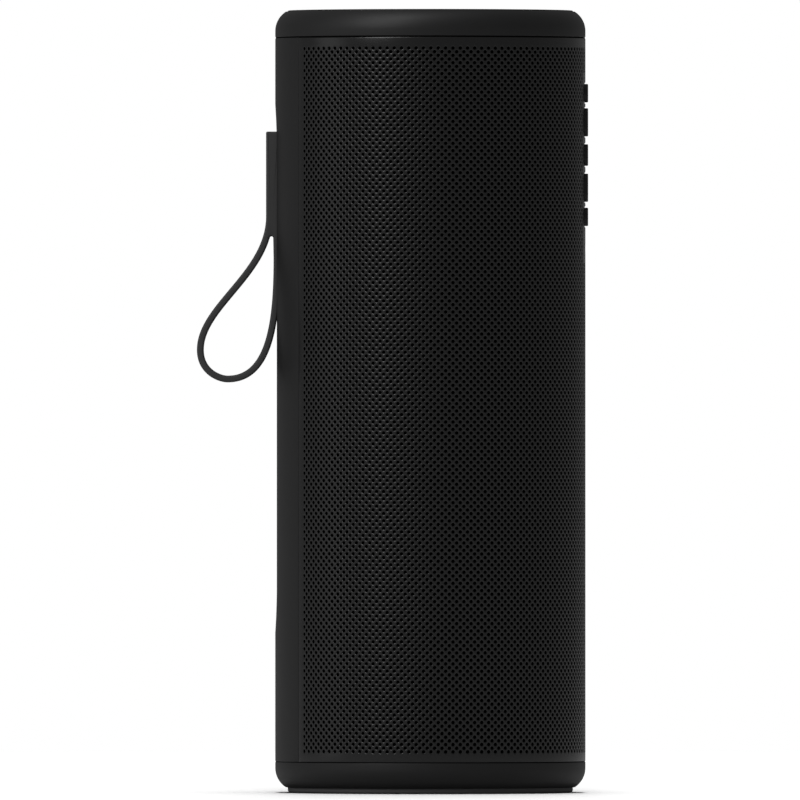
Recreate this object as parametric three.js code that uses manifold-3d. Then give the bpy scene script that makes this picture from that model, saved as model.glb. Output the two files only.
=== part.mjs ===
// An upright cylindrical shower speaker: two round end caps, a punched grille wrapped round a moulded
// cabinet, a grooved spine down the back with a silicone strap and a port flap, and five keys at the front.
// Millimetres, +Z up, origin under the middle of the foot. The keys face +X and the strap hangs at -X.
import * as THREE from "three";
import { mergeVertices } from "three/addons/utils/BufferGeometryUtils.js";
import Module from "manifold-3d";

const wasm = await Module();
wasm.setup();

// ---------- Driving dimensions ----------
const clearance = 0.3; // between pieces that touch or seat on each other
const bodyRadius = 36.5;
const bodyHeight = 183.3;
const footProud = 0.7; // how far the foot pad stands below the bottom cap

const capHeight = 6.26;
const capCornerRadius = 5.42;
const capFlatInset = 2.96; // from the body's side to the edge of the flat end
const capRimDrop = 0.28; // the end plate stands this far proud of the cap's rim
const capFloor = 1.6;
const plateThickness = 1.5;
const spigotDepth = 5;
const spigotWall = 1.6;
const gasketThickness = 0.8;

const grilleWall = 0.8;
const clothThickness = 0.4;
const cabinetWall = 2;

const spineHalfAngle = 31.5; // degrees either side of -X
const keelHalfWidth = 8; // the thick middle of the spine, which the groove is cut into
const keelDepth = 4.2; // from the body's surface
const keelMargin = 1.5; // how far the keel ends short of the cabinet's back wall
const grooveBottomRise = 37.2; // from the body's bottom to the groove's lower end
const grooveTopDrop = 22.4; // from the body's top to its upper end
const grooveEndLength = 10.6; // the groove's ends are half ellipses this long

const strapWidth = 8.4;
const strapSideGap = 0.75; // between the strap and the sides of its groove
const strapThickness = 1.6;
const strapProud = 2.15; // the strap's root stands this far out of the body
const strapSeatGap = 0.45; // between the strap's root and the groove's floor
const strapTopDrop = 28.5; // from the body's top to the strap's upper end
const strapBendDrop = 19.9; // from the strap's upper end to where it bends
const strapForkDrop = 24.5; // and to where the two legs part
const loopReach = 17.62; // the loop's centre line at its widest, from the body's surface
const loopWidestDrop = 51.35; // and how far below the strap's upper end that is
const loopBottomDrop = 58.2;
const loopBottomReach = 11.16;
const loopReturnDrop = 29.7; // where the inner leg meets the groove again
const loopReturnReach = -0.42;
const loopHandles = [13.53, 10.33, 5.11, 2.05, 10.08, 14.72]; // lengths of the three curves' handles
const anchorTabDrop = 7.5; // from the strap's upper end to the tab that enters the spine
const anchorTabSize = 4; // along the strap
const anchorTabWidth = 5.2;
const anchorPinRadius = 0.8;
const anchorPinLength = 11;

const flapHeight = 15.4;
const flapThickness = 0.75;
const portRise = 61.3; // from the body's bottom to the port's centre
const portWidth = 8.94;
const portHeight = 3.26;
const portLength = 6.4;
const portWall = 0.3;
const portRecess = 1; // the port's mouth lies this far behind the groove's floor
const tongueWidth = 6.7;
const tongueThickness = 0.7;
const chargeBoardWidth = 15;
const chargeBoardHeight = 18;
const chargeBoardThickness = 1.2;
const flapAnchorHeight = 5.5;
const flapStudLength = 1.6; // behind the groove's floor
const flapStudRadius = 1.2;

const keyColumnDrop = 34; // from the body's top to the middle key
const keyWidth = 9;
const keyProud = 0.61;
const keyTravel = 0.4;
const keyCornerRadius = 1.9;
const keyFlange = 0.6; // how far the key's flange reaches under the grille, and its thickness
const keyPostRadius = 1.3;
const keyCarrierDepth = 2.3;
const membraneThickness = 0.6;
const switchHeight = 1.1;
const plungerHeight = 0.6;
const plungerRadius = 0.8;
const switchSize = 3.5;
const boardThickness = 1.6;
const keys = [
  { name: "power_key", offset: 14.55, height: 4.3 },
  { name: "volume_up_key", offset: 7.7, height: 6.6 },
  { name: "play_key", offset: 0, height: 5.06 },
  { name: "volume_down_key", offset: -7.7, height: 6.6 },
  { name: "pairing_key", offset: -14.55, height: 4.3 },
];
const lightRadius = 1;
const lightBelowKeys = 22; // from the middle key
const lightInset = 0.05; // behind the body's surface

const driverHeights = { lower: 42, upper: 97 }; // of the two drivers' axes, above the foot
const driverFlangeRadius = 24.2;
const driverFlangeWidth = 4.3; // from the frame's edge to its opening
const driverBackRadius = 14.9; // the frame narrows to this at its back plate
const driverBackDepth = 9.6; // the back plate's place, out from the body's axis
const driverBackWall = 1.2;
const driverBackPlate = 4.1; // the width of the back plate round the coil
const driverFrameWall = 1;
const driverConeInset = 7; // from the frame's edge to the cone's
const magnetRadius = 14;
const magnetBack = 2;
const magnetPlate = 3;
const coilRadius = 6.1;
const coilWall = 0.5;
const coilGap = 0.4; // between the coil and the magnet's slot on either side
const coilEnd = 8.6;
const coneApex = 17; // where the cone meets the coil, out from the body's axis
const dustCapRise = 1.7;
const dustCapShoulder = 1.36; // the cap's rise half way out to the coil
const coneWall = 0.6;
const radiatorHeight = 143;
const radiatorFlangeRadius = 19.5;
const radiatorFlangeWidth = 3.1;
const radiatorPlateInset = 6.4;
const radiatorWellDepth = 5; // the opening behind a radiator starts this far from the body's axis
const radiatorPlateWall = 0.8;
const radiatorWeightRadius = 9;
const radiatorWeightWall = 0.9;
const flangeThickness = 1.4; // of the drivers' and radiators' frames
const surroundWall = 0.4;
const surroundRise = 1.3;
const surroundLip = 1.9;
const baffleOffset = 21.9; // from the body's axis to the step that a driver or radiator sits on
const flangeSeat = 3; // the width of that step under the flange
const collarWall = 2.3;
const collarDepth = 2; // how far a collar reaches behind its step

const capBossDepth = 10.5; // from the end face to the end of the cap's screw bosses
const capScrewInset = 1.2; // between the cap's screw bosses and its spigot
const capScrewAngles = [60, 180, 300];
const screwRadius = 1.3;
const screwHeadRadius = 2.3;
const screwHeadHeight = 1.4;
const screwLength = 12;
const bossWall = 2;
const pillarLength = 6.7;
const pillarWeb = 3; // thickness of the rib from the pillar to the wall

const cellRadius = 9.1;
const cellLength = 65;
const cellBottom = 22;
const cellSpread = 9.6; // from the middle to each cell's axis
const cradleWall = 1.2;
const cradleGap = 0.5; // between the cradle and the charge board
const cradleDepth = 7.6;
const cradleHalfWidth = 17.2;
const cradleInset = 2; // the cradle is this much shorter than the cells at each end
const mainBoardBottom = 92;
const mainBoardTop = 160;
const mainBoardBack = -24.8;
const mainBoardHalfWidth = 17;
const boardScrewInset = 6; // from the board's ends to its screws
const boardBossRadius = 2.6;
const boardScrewReach = 3.5; // behind the board
const boardScrewHead = 1.2;
const screwTipGap = 1; // between a board screw's tip and the end of its hole
const chipHeight = 1;

const shellSegments = 40;
const partSegments = 20;
const smallSegments = 10;
const cornerSteps = 4;
const archSteps = 3;
const strapSteps = 10; // along each curve of the loop

// ---------- Sizes that follow ----------
const bodyBottom = footProud;
const bodyTop = footProud + bodyHeight;
const lowerSeam = bodyBottom + capHeight;
const upperSeam = bodyTop - capHeight;
const skinBottom = lowerSeam + clearance;
const skinTop = upperSeam - clearance;
const grilleInner = bodyRadius - grilleWall;
const clothOuter = grilleInner - clearance;
const clothInner = clothOuter - clothThickness;
const cabinetOuter = clothInner - clearance;
const cabinetInner = cabinetOuter - cabinetWall;
const spigotOuter = cabinetInner - clearance;
const bossRadius = screwRadius + clearance + bossWall;
const capScrewCircle = spigotOuter - spigotWall - capScrewInset - bossRadius;
const plateRadius = bodyRadius - capFlatInset;
const cabinetBottom = skinBottom + gasketThickness + clearance;
const cabinetTop = skinTop - gasketThickness - clearance;
const innerBottom = lowerSeam + spigotDepth + 2 * clearance; // clear of the caps' spigots
const innerTop = upperSeam - spigotDepth - 2 * clearance;

const keelBack = -(bodyRadius - keelDepth);
const backWallX = keelBack + clearance;
const strapRootFace = bodyRadius + strapProud;
const strapPivotX = -(strapRootFace - strapThickness);
const grooveFloor = -(strapRootFace - 2 * strapThickness - strapSeatGap);
const grooveHalfWidth = strapWidth / 2 + strapSideGap;
const flapHalfWidth = grooveHalfWidth - clearance;
const strapTop = bodyTop - strapTopDrop;
const strapPivotZ = strapTop - strapBendDrop;
const portZ = bodyBottom + portRise;
const portMouthX = grooveFloor + portRecess;
const flapOuterX = grooveFloor - clearance - flapThickness;
const flapPivotX = grooveFloor - clearance - flapThickness / 2;
const flapBottom = portZ - flapHeight / 2;

const keyColumnZ = bodyTop - keyColumnDrop;
const keyFace = bodyRadius + keyProud;
const keyHalfReach = keyWidth / 2 + keyFlange;
const keyFlangeFront = Math.sqrt(grilleInner ** 2 - keyHalfReach ** 2) - clearance / 2;
const keyFlangeBack = keyFlangeFront - keyFlange;
const carrierFront = keyFlangeBack - keyTravel - clearance / 2;
const carrierBack = carrierFront - keyCarrierDepth;
const membraneFront = carrierBack - clearance;
const keyPostEnd = membraneFront + keyTravel + clearance / 2;
const plungerEnd = membraneFront - membraneThickness - clearance;
const keyBoardFront = plungerEnd - plungerHeight - switchHeight - clearance;
const keyWindowHalfWidth = keyHalfReach + clearance;
const keyWindowHalfHeight = keys[0].offset + keys[0].height / 2 + keyFlange + 2 * clearance;

// ---------- Finishes ----------
const finish = (color, roughness, metalness = 0) =>
  new THREE.MeshStandardMaterial({ color, roughness, metalness });
const finishes = {
  cap: finish(0x1b1b1c, 0.55),
  grille: finish(0x1c1c1d, 0.5, 0.2),
  spine: finish(0x1c1c1d, 0.6),
  silicone: finish(0x202021, 0.7),
  rubber: finish(0x181818, 0.85),
  cloth: finish(0x0a0a0a, 0.95),
  key: finish(0x141415, 0.6),
  cabinet: finish(0x2a2a2c, 0.6),
  board: finish(0x14402a, 0.45),
  steel: finish(0xa8a8aa, 0.35, 1),
  magnet: finish(0x4a4a4d, 0.5, 0.8),
  cone: finish(0x202022, 0.8),
  cell: finish(0x2a5f9e, 0.4),
  light: finish(0xdfe8ee, 0.2),
};

// ---------- Solids ----------
const X = new THREE.Vector3(1, 0, 0);
const Y = new THREE.Vector3(0, 1, 0);
const Z = new THREE.Vector3(0, 0, 1);
const alongX = new THREE.Matrix4().makeBasis(Y, Z, X); // a drawing in Y and Z, carried along +X
const alongY = new THREE.Matrix4().makeBasis(Z, X, Y); // a drawing in Z and X, carried along +Y
const sideways = new THREE.Matrix4().makeBasis(X, Z, Y.clone().negate()); // in X and Z, along -Y

// Welds a closed geometry's vertices, drops the empty triangles at its poles, and makes it a solid.
function solid(geometry, matrix = new THREE.Matrix4()) {
  const bare = geometry.clone().applyMatrix4(matrix);
  bare.deleteAttribute("normal");
  bare.deleteAttribute("uv");
  const welded = mergeVertices(bare, 1e-4);
  const corners = welded.index.array;
  const faces = [];
  for (let i = 0; i < corners.length; i += 3) {
    const [a, b, c] = corners.slice(i, i + 3);
    if (a !== b && b !== c && c !== a) faces.push(a, b, c);
  }
  const vertProperties = new Float32Array(welded.getAttribute("position").array);
  return new wasm.Manifold(new wasm.Mesh({ numProp: 3, vertProperties, triVerts: new Uint32Array(faces) }));
}

// A box from its low to its high corner.
function block(x0, x1, y0, y1, z0, z1) {
  const box = new THREE.BoxGeometry(x1 - x0, y1 - y0, z1 - z0);
  box.translate((x0 + x1) / 2, (y0 + y1) / 2, (z0 + z1) / 2);
  return solid(box);
}

// A round bar between two places along an axis, centred on [first, second] across it.
function rod(radius, axis, from, to, [first, second] = [0, 0], segments = smallSegments) {
  const bar = new THREE.CylinderGeometry(radius, radius, to - from, segments);
  bar.rotateX(Math.PI / 2);
  bar.translate(first, second, (from + to) / 2);
  const turned = { X: alongX, Y: alongY, Z: new THREE.Matrix4() }[axis];
  return solid(bar, turned);
}

// A closed profile of [radius, height] points, turned about +Z and then carried to another axis.
function revolve(profile, segments, matrix = new THREE.Matrix4()) {
  const points = profile.map(([radius, height]) => new THREE.Vector2(radius, height));
  if (THREE.ShapeUtils.area(points) < 0) points.reverse();
  points.push(points[0].clone());
  const turned = new THREE.LatheGeometry(points, segments);
  turned.rotateX(Math.PI / 2);
  return solid(turned, matrix);
}

function ring(outer, inner, z0, z1, segments = shellSegments) {
  const profile = [[inner, z0], [outer, z0], [outer, z1], [inner, z1]];
  return revolve(profile, segments);
}

function disc(radius, z0, z1, segments = shellSegments) {
  return revolve([[0, z0], [radius, z0], [radius, z1], [0, z1]], segments);
}

// A flat outline carried from one place to another along the matrix's third axis.
function extrude(shape, matrix, from, to, curveSegments = 3) {
  const bar = new THREE.ExtrudeGeometry(shape, { depth: to - from, bevelEnabled: false, curveSegments });
  bar.translate(0, 0, from);
  return solid(bar, matrix);
}

function roundedRectangle(width, height, radius, centreHeight) {
  const right = width / 2 - radius;
  const top = height / 2 - radius;
  const shape = new THREE.Shape();
  shape.absarc(right, centreHeight - top, radius, -Math.PI / 2, 0);
  shape.absarc(right, centreHeight + top, radius, 0, Math.PI / 2);
  shape.absarc(-right, centreHeight + top, radius, Math.PI / 2, Math.PI);
  shape.absarc(-right, centreHeight - top, radius, Math.PI, 1.5 * Math.PI);
  return shape;
}

// A rounded pad facing +X, drawn in Y and Z.
function pad(width, height, radius, x0, x1, z) {
  return extrude(roundedRectangle(width, height, radius, z), alongX, x0, x1);
}

// The space behind the body's axis within an angle either side of -X.
function backWedge(halfAngle) {
  const reach = 2 * bodyRadius;
  const spread = reach * Math.tan(THREE.MathUtils.degToRad(halfAngle));
  const shape = new THREE.Shape([
    new THREE.Vector2(0, 0),
    new THREE.Vector2(-reach, spread),
    new THREE.Vector2(-reach, -spread),
  ]);
  return extrude(shape, new THREE.Matrix4(), 0, bodyTop);
}

// Points along an arch from one place to another, bulging to the left of that way by its rise.
function arch([x0, y0], [x1, y1], rise, steps = archSteps) {
  const points = [];
  for (let i = 0; i <= steps; i += 1) {
    const along = i / steps;
    const lift = rise * Math.sin(Math.PI * along);
    points.push([x0 + (x1 - x0) * along, y0 + (y1 - y0) * along + lift]);
  }
  return points;
}

const speaker = new THREE.Group();

function addPiece(name, shape, material) {
  const { vertProperties, triVerts } = shape.getMesh();
  const geometry = new THREE.BufferGeometry();
  geometry.setAttribute("position", new THREE.BufferAttribute(vertProperties, 3));
  geometry.setIndex(new THREE.BufferAttribute(triVerts, 1));
  geometry.computeVertexNormals();
  const mesh = new THREE.Mesh(geometry, material);
  mesh.name = name;
  speaker.add(mesh);
}

// ---------- End caps ----------
const screwPlaces = capScrewAngles.map((angle) => {
  const turn = THREE.MathUtils.degToRad(angle);
  return [capScrewCircle * Math.cos(turn), capScrewCircle * Math.sin(turn)];
});
const recessFloor = plateThickness + clearance; // depth of the plate's recess from the end face
const headSeat = recessFloor + screwHeadHeight + 2 * clearance;

// One end of the speaker. Depths run inwards from the end face; inward is -1 at the top and 1 below.
function endCap(faceZ, inward) {
  const at = (depth) => faceZ + inward * depth;
  const span = (from, to) => [Math.min(at(from), at(to)), Math.max(at(from), at(to))];
  const arcRadius = bodyRadius - capCornerRadius;
  const arcDepth = Math.sqrt(capCornerRadius ** 2 - (capCornerRadius - capFlatInset) ** 2);
  const firstTurn = Math.asin((arcDepth - capRimDrop) / capCornerRadius);
  const corner = [];
  for (let i = 0; i <= cornerSteps; i += 1) {
    const turn = firstTurn * (1 - i / cornerSteps);
    corner.push([
      arcRadius + capCornerRadius * Math.cos(turn),
      at(arcDepth - capCornerRadius * Math.sin(turn)),
    ]);
  }
  let cap = revolve(
    [
      [0, at(recessFloor)],
      [plateRadius + clearance, at(recessFloor)],
      [plateRadius + clearance, at(capRimDrop)],
      ...corner,
      [bodyRadius, at(capHeight)],
      [spigotOuter, at(capHeight)],
      [spigotOuter, at(capHeight + spigotDepth)],
      [spigotOuter - spigotWall, at(capHeight + spigotDepth)],
      [spigotOuter - spigotWall, at(recessFloor + capFloor)],
      [0, at(recessFloor + capFloor)],
    ],
    shellSegments,
  );
  for (const place of screwPlaces) {
    cap = cap.add(rod(bossRadius, "Z", ...span(recessFloor + capFloor / 2, capBossDepth), place));
  }
  for (const place of screwPlaces) {
    cap = cap
      .subtract(rod(screwRadius + clearance, "Z", ...span(0, 2 * capBossDepth), place))
      .subtract(rod(screwHeadRadius + clearance, "Z", ...span(0, headSeat), place));
  }
  return cap;
}

// A gasket lies between the cap's flange and the cabinet's rim.
function gasket(z0) {
  return ring(cabinetOuter, spigotOuter + clearance, z0, z0 + gasketThickness);
}

// A cap screw, its head on the counterbore's seat.
function capScrew(faceZ, inward, place) {
  const headTop = faceZ + inward * (headSeat - clearance - screwHeadHeight);
  const headEnd = headTop + inward * screwHeadHeight;
  const tip = headEnd + inward * screwLength;
  const head = rod(screwHeadRadius, "Z", Math.min(headTop, headEnd), Math.max(headTop, headEnd), place);
  return head.add(rod(screwRadius, "Z", Math.min(headTop, tip), Math.max(headTop, tip), place));
}

addPiece("top_cap", endCap(bodyTop, -1), finishes.cap);
addPiece("top_plate", disc(plateRadius, bodyTop - plateThickness, bodyTop), finishes.cap);
addPiece("bottom_cap", endCap(bodyBottom, 1), finishes.cap);
addPiece("foot_pad", disc(plateRadius, 0, bodyBottom + plateThickness), finishes.rubber);
addPiece("top_gasket", gasket(skinTop - gasketThickness), finishes.rubber);
addPiece("bottom_gasket", gasket(skinBottom), finishes.rubber);
screwPlaces.forEach((place, i) => {
  addPiece(`top_screw_${i + 1}`, capScrew(bodyTop, -1, place), finishes.steel);
  addPiece(`bottom_screw_${i + 1}`, capScrew(bodyBottom, 1, place), finishes.steel);
});

// ---------- Grille, cloth and spine ----------
const seamAngle = THREE.MathUtils.radToDeg(clearance / bodyRadius);
const skinWedge = backWedge(spineHalfAngle + seamAngle);

function keyOutline(key, margin, x0, x1) {
  const radius = Math.min(keyCornerRadius, key.height / 2) + margin;
  return pad(keyWidth + 2 * margin, key.height + 2 * margin, radius, x0, x1, keyColumnZ + key.offset);
}

let grille = ring(bodyRadius, grilleInner, skinBottom, skinTop).subtract(skinWedge);
for (const key of keys) {
  grille = grille.subtract(keyOutline(key, clearance, 0, 2 * bodyRadius));
}
const lightPlace = [0, keyColumnZ - lightBelowKeys];
const lightHole = rod(lightRadius + clearance, "X", 0, 2 * bodyRadius, lightPlace);
addPiece("grille", grille.subtract(lightHole), finishes.grille);

const clothWindow = block(
  0,
  2 * bodyRadius,
  -keyWindowHalfWidth,
  keyWindowHalfWidth,
  keyColumnZ - keyWindowHalfHeight,
  keyColumnZ + keyWindowHalfHeight,
);
const cloth = ring(clothOuter, clothInner, skinBottom, skinTop).subtract(skinWedge);
addPiece("acoustic_cloth", cloth.subtract(clothWindow).subtract(lightHole), finishes.cloth);

const grooveLow = bodyBottom + grooveBottomRise;
const grooveHigh = bodyTop - grooveTopDrop;

function grooveShape() {
  const shape = new THREE.Shape();
  const lowCentre = grooveLow + grooveEndLength;
  const highCentre = grooveHigh - grooveEndLength;
  shape.absellipse(0, lowCentre, grooveHalfWidth, grooveEndLength, Math.PI, 2 * Math.PI);
  shape.absellipse(0, highCentre, grooveHalfWidth, grooveEndLength, 0, Math.PI);
  return shape;
}

const keelBottom = innerBottom + keelMargin;
const keelTop = innerTop - keelMargin;
const tabZ = strapTop - anchorTabDrop;
const pinX = keelBack - anchorPinRadius - clearance;
const pinPocket = anchorPinRadius + clearance;
const tabHalf = anchorTabSize / 2;
const flapAnchorTop = flapBottom - flapThickness / 2 - clearance;
const flapStudZ = flapAnchorTop - flapAnchorHeight / 2;
const flapStudEnd = grooveFloor + flapStudLength;

// The opening that the charging port passes through, with some room all round.
function portOutline(margin, x0, x1) {
  const height = portHeight + 2 * margin;
  return pad(portWidth + 2 * margin, height, height / 2, x0, x1, portZ);
}

let spine = disc(bodyRadius, skinBottom, skinTop)
  .subtract(disc(clothInner, skinBottom - 1, skinTop + 1))
  .intersect(backWedge(spineHalfAngle));
const keelBlock = block(-bodyRadius, keelBack, -keelHalfWidth, keelHalfWidth, keelBottom, keelTop);
spine = spine
  .add(keelBlock.intersect(disc(bodyRadius, skinBottom, skinTop)))
  .subtract(extrude(grooveShape(), alongX, -2 * bodyRadius, grooveFloor, 8))
  .subtract(
    block(
      -bodyRadius,
      0,
      -anchorTabWidth / 2 - clearance,
      anchorTabWidth / 2 + clearance,
      tabZ - tabHalf - clearance,
      tabZ + tabHalf + clearance,
    ),
  )
  .subtract(
    block(
      pinX - pinPocket,
      0,
      -anchorPinLength / 2 - clearance,
      anchorPinLength / 2 + clearance,
      tabZ - pinPocket,
      tabZ + pinPocket,
    ),
  )
  .subtract(portOutline(clearance, -bodyRadius, 0))
  .subtract(rod(flapStudRadius + clearance, "X", -bodyRadius, flapStudEnd + clearance, [0, flapStudZ]));
addPiece("spine", spine, finishes.spine);

// ---------- Strap ----------
const rootNeck = strapPivotZ + 2 * strapThickness + clearance; // centre of the root's round lower end
const strapBack = -(strapRootFace - 2 * strapThickness);
const halfStrap = strapWidth / 2;

function strapBlock(z0, z1) {
  return block(-strapRootFace, strapBack, -halfStrap, halfStrap, z0, z1);
}

function strapRound(z) {
  return rod(strapThickness, "Y", -halfStrap, halfStrap, [z, strapPivotX], 24);
}

const tab = block(
  strapBack - strapThickness,
  keelBack - clearance,
  -anchorTabWidth / 2,
  anchorTabWidth / 2,
  tabZ - tabHalf,
  tabZ + tabHalf,
);
const pinHole = rod(anchorPinRadius + clearance, "Y", -bodyRadius, bodyRadius, [tabZ, pinX]);
const strapRoot = strapBlock(rootNeck, strapTop).add(strapRound(rootNeck)).add(tab).subtract(pinHole);
addPiece("strap_root", strapRoot, finishes.silicone);
const strapPin = rod(anchorPinRadius, "Y", -anchorPinLength / 2, anchorPinLength / 2, [tabZ, pinX]);
addPiece("strap_pin", strapPin, finishes.steel);

// The loop's centre line in X and Z: out and down, round the bottom, and up again into the groove.
function loopCurves() {
  const place = (reach, drop) => new THREE.Vector2(-(bodyRadius + reach), strapTop - drop);
  const below = (point, length) => new THREE.Vector2(point.x, point.y - length);
  const beside = (point, length) => new THREE.Vector2(point.x + length, point.y);
  const start = new THREE.Vector2(-(strapRootFace - strapThickness / 2), strapPivotZ);
  const widest = place(loopReach, loopWidestDrop);
  const bottom = place(loopBottomReach, loopBottomDrop);
  const back = place(loopReturnReach, loopReturnDrop);
  const end = new THREE.Vector2(strapBack - strapThickness / 2, strapPivotZ);
  const [h1, h2, h3, h4, h5, h6] = loopHandles;
  return [
    new THREE.CubicBezierCurve(start, below(start, h1), below(widest, -h2), widest),
    new THREE.CubicBezierCurve(widest, below(widest, h3), beside(bottom, -h4), bottom),
    new THREE.CubicBezierCurve(bottom, beside(bottom, h5), below(back, h6), back),
    new THREE.LineCurve(back, end),
  ];
}

// A band of the strap's thickness along some of the loop's curves.
function band(curves) {
  const left = [];
  const right = [];
  curves.forEach((curve, c) => {
    for (let i = c === 0 ? 0 : 1; i <= strapSteps; i += 1) {
      const point = curve.getPoint(i / strapSteps);
      const way = curve.getTangent(i / strapSteps);
      const across = new THREE.Vector2(way.y, -way.x).multiplyScalar(strapThickness / 2);
      left.push(point.clone().add(across));
      right.unshift(point.clone().sub(across));
    }
  });
  return extrude(new THREE.Shape([...left, ...right]), sideways, -halfStrap, halfStrap);
}

const [outerLeg, widestTurn, bottomTurn, innerLeg] = loopCurves();
const strapLoop = band([outerLeg, widestTurn])
  .add(band([bottomTurn, innerLeg]))
  .add(strapBlock(strapTop - strapForkDrop, strapPivotZ))
  .add(strapRound(strapPivotZ));
addPiece("strap_loop", strapLoop, finishes.silicone);

// ---------- Port and its flap ----------
const flapInnerX = flapOuterX + flapThickness;
const flapTop = flapBottom + flapHeight;
const flap = block(flapOuterX, flapInnerX, -flapHalfWidth, flapHalfWidth, flapBottom, flapTop)
  .add(rod(flapThickness / 2, "Y", -flapHalfWidth, flapHalfWidth, [flapBottom, flapPivotX]))
  .add(portOutline(-clearance, flapInnerX - flapThickness / 2, grooveFloor + portRecess - clearance));
addPiece("port_flap", flap, finishes.rubber);

const flapAnchor = block(
  flapOuterX,
  flapInnerX,
  -flapHalfWidth,
  flapHalfWidth,
  flapAnchorTop - flapAnchorHeight,
  flapAnchorTop,
);
const flapStud = rod(flapStudRadius, "X", flapInnerX - flapThickness / 2, flapStudEnd, [0, flapStudZ]);
addPiece("flap_anchor", flapAnchor.add(flapStud), finishes.rubber);

const portEnd = portMouthX + portLength;
const tongue = block(
  portMouthX + 2 * portWall,
  portEnd - portWall,
  -tongueWidth / 2,
  tongueWidth / 2,
  portZ - tongueThickness / 2,
  portZ + tongueThickness / 2,
);
const port = portOutline(0, portMouthX, portEnd)
  .subtract(portOutline(-portWall, portMouthX - 1, portEnd - 1))
  .add(tongue);
addPiece("usb_receptacle", port, finishes.steel);
const chargeBoardBack = portEnd + clearance;
const chargeBoardFront = chargeBoardBack + chargeBoardThickness;
const chargeBoard = block(
  chargeBoardBack,
  chargeBoardFront,
  -chargeBoardWidth / 2,
  chargeBoardWidth / 2,
  portZ - chargeBoardHeight / 2,
  portZ + chargeBoardHeight / 2,
);
addPiece("charge_board", chargeBoard, finishes.board);

// ---------- Cabinet ----------
const backWallHalf = keelHalfWidth + clearance + cabinetWall;
const boardBossZ = [mainBoardBottom + boardScrewInset, mainBoardTop - boardScrewInset];
const driverCollar = driverFlangeRadius + clearance;
const radiatorCollar = radiatorFlangeRadius + clearance;
const driverOpening = driverFlangeRadius - flangeSeat;
const radiatorOpening = radiatorFlangeRadius - flangeSeat;
const radiatorSides = { left: 1, right: -1 }; // the side of +Y or -Y that each one faces

function pillar(inward, place) {
  const faceZ = inward > 0 ? bodyBottom : bodyTop;
  const start = faceZ + inward * (capBossDepth + clearance);
  const end = start + inward * pillarLength;
  const webStart = inward > 0 ? innerBottom : innerTop;
  const webReach = cabinetInner + cabinetWall / 2 - capScrewCircle;
  const web = new THREE.BoxGeometry(webReach, pillarWeb, Math.abs(end - webStart));
  web.translate(capScrewCircle + webReach / 2, 0, (end + webStart) / 2);
  web.rotateZ(Math.atan2(place[1], place[0]));
  const post = rod(bossRadius, "Z", Math.min(start, end), Math.max(start, end), place);
  return post.add(solid(web));
}

let cabinet = ring(cabinetOuter, cabinetInner, cabinetBottom, cabinetTop).add(
  block(keelBack - 1, backWallX + cabinetWall, -backWallHalf, backWallHalf, innerBottom, innerTop),
);
for (const z of Object.values(driverHeights)) {
  const collar = driverCollar + collarWall;
  cabinet = cabinet.add(rod(collar, "X", baffleOffset - collarDepth, bodyRadius, [0, z], partSegments));
}
for (const side of Object.values(radiatorSides)) {
  const ends = [side * (baffleOffset - collarDepth), side * bodyRadius].sort((a, b) => a - b);
  const place = [radiatorHeight, 0];
  cabinet = cabinet.add(rod(radiatorCollar + collarWall, "Y", ...ends, place, partSegments));
}
for (const place of screwPlaces) cabinet = cabinet.add(pillar(1, place)).add(pillar(-1, place));
for (const z of boardBossZ) {
  cabinet = cabinet.add(rod(boardBossRadius, "X", backWallX + 1, mainBoardBack - clearance, [0, z]));
}
cabinet = cabinet.intersect(disc(cabinetOuter, cabinetBottom, cabinetTop));

const channel = block(
  -bodyRadius,
  backWallX,
  -keelHalfWidth - clearance,
  keelHalfWidth + clearance,
  keelBottom - clearance,
  keelTop + clearance,
);
cabinet = cabinet.subtract(channel);
for (const z of Object.values(driverHeights)) {
  cabinet = cabinet
    .subtract(rod(driverCollar, "X", baffleOffset, bodyRadius, [0, z], partSegments))
    .subtract(rod(driverOpening, "X", 0, bodyRadius, [0, z], partSegments));
}
for (const side of Object.values(radiatorSides)) {
  const place = [radiatorHeight, 0];
  const recess = [side * baffleOffset, side * bodyRadius].sort((a, b) => a - b);
  const opening = [side * radiatorWellDepth, side * bodyRadius].sort((a, b) => a - b);
  cabinet = cabinet
    .subtract(rod(radiatorCollar, "Y", ...recess, place, partSegments))
    .subtract(rod(radiatorOpening, "Y", ...opening, place, partSegments));
}
for (const place of screwPlaces) {
  const depth = headSeat + screwLength + 2 * clearance;
  cabinet = cabinet
    .subtract(rod(screwRadius + clearance, "Z", bodyTop - depth, bodyTop, place))
    .subtract(rod(screwRadius + clearance, "Z", 0, bodyBottom + depth, place));
}
for (const z of boardBossZ) {
  cabinet = cabinet.subtract(rod(screwRadius, "X", mainBoardBack - boardScrewReach - screwTipGap, 0, [0, z]));
}
const keyWindow = block(
  plungerEnd - cabinetWall,
  2 * bodyRadius,
  -keyWindowHalfWidth - cabinetWall,
  keyWindowHalfWidth + cabinetWall,
  keyColumnZ - keyWindowHalfHeight,
  keyColumnZ + keyWindowHalfHeight,
);
cabinet = cabinet
  .subtract(keyWindow)
  .subtract(portOutline(clearance, -bodyRadius, -cabinetWall))
  .subtract(lightHole);
addPiece("cabinet", cabinet, finishes.cabinet);

// ---------- Drivers and passive radiators ----------
// Profiles are [radius, depth outwards from the body's axis], turned onto +X or the radiator's side.
const flangeBack = baffleOffset + clearance;
const flangeFront = flangeBack + flangeThickness;
const rollBack = flangeFront + clearance;

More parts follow.
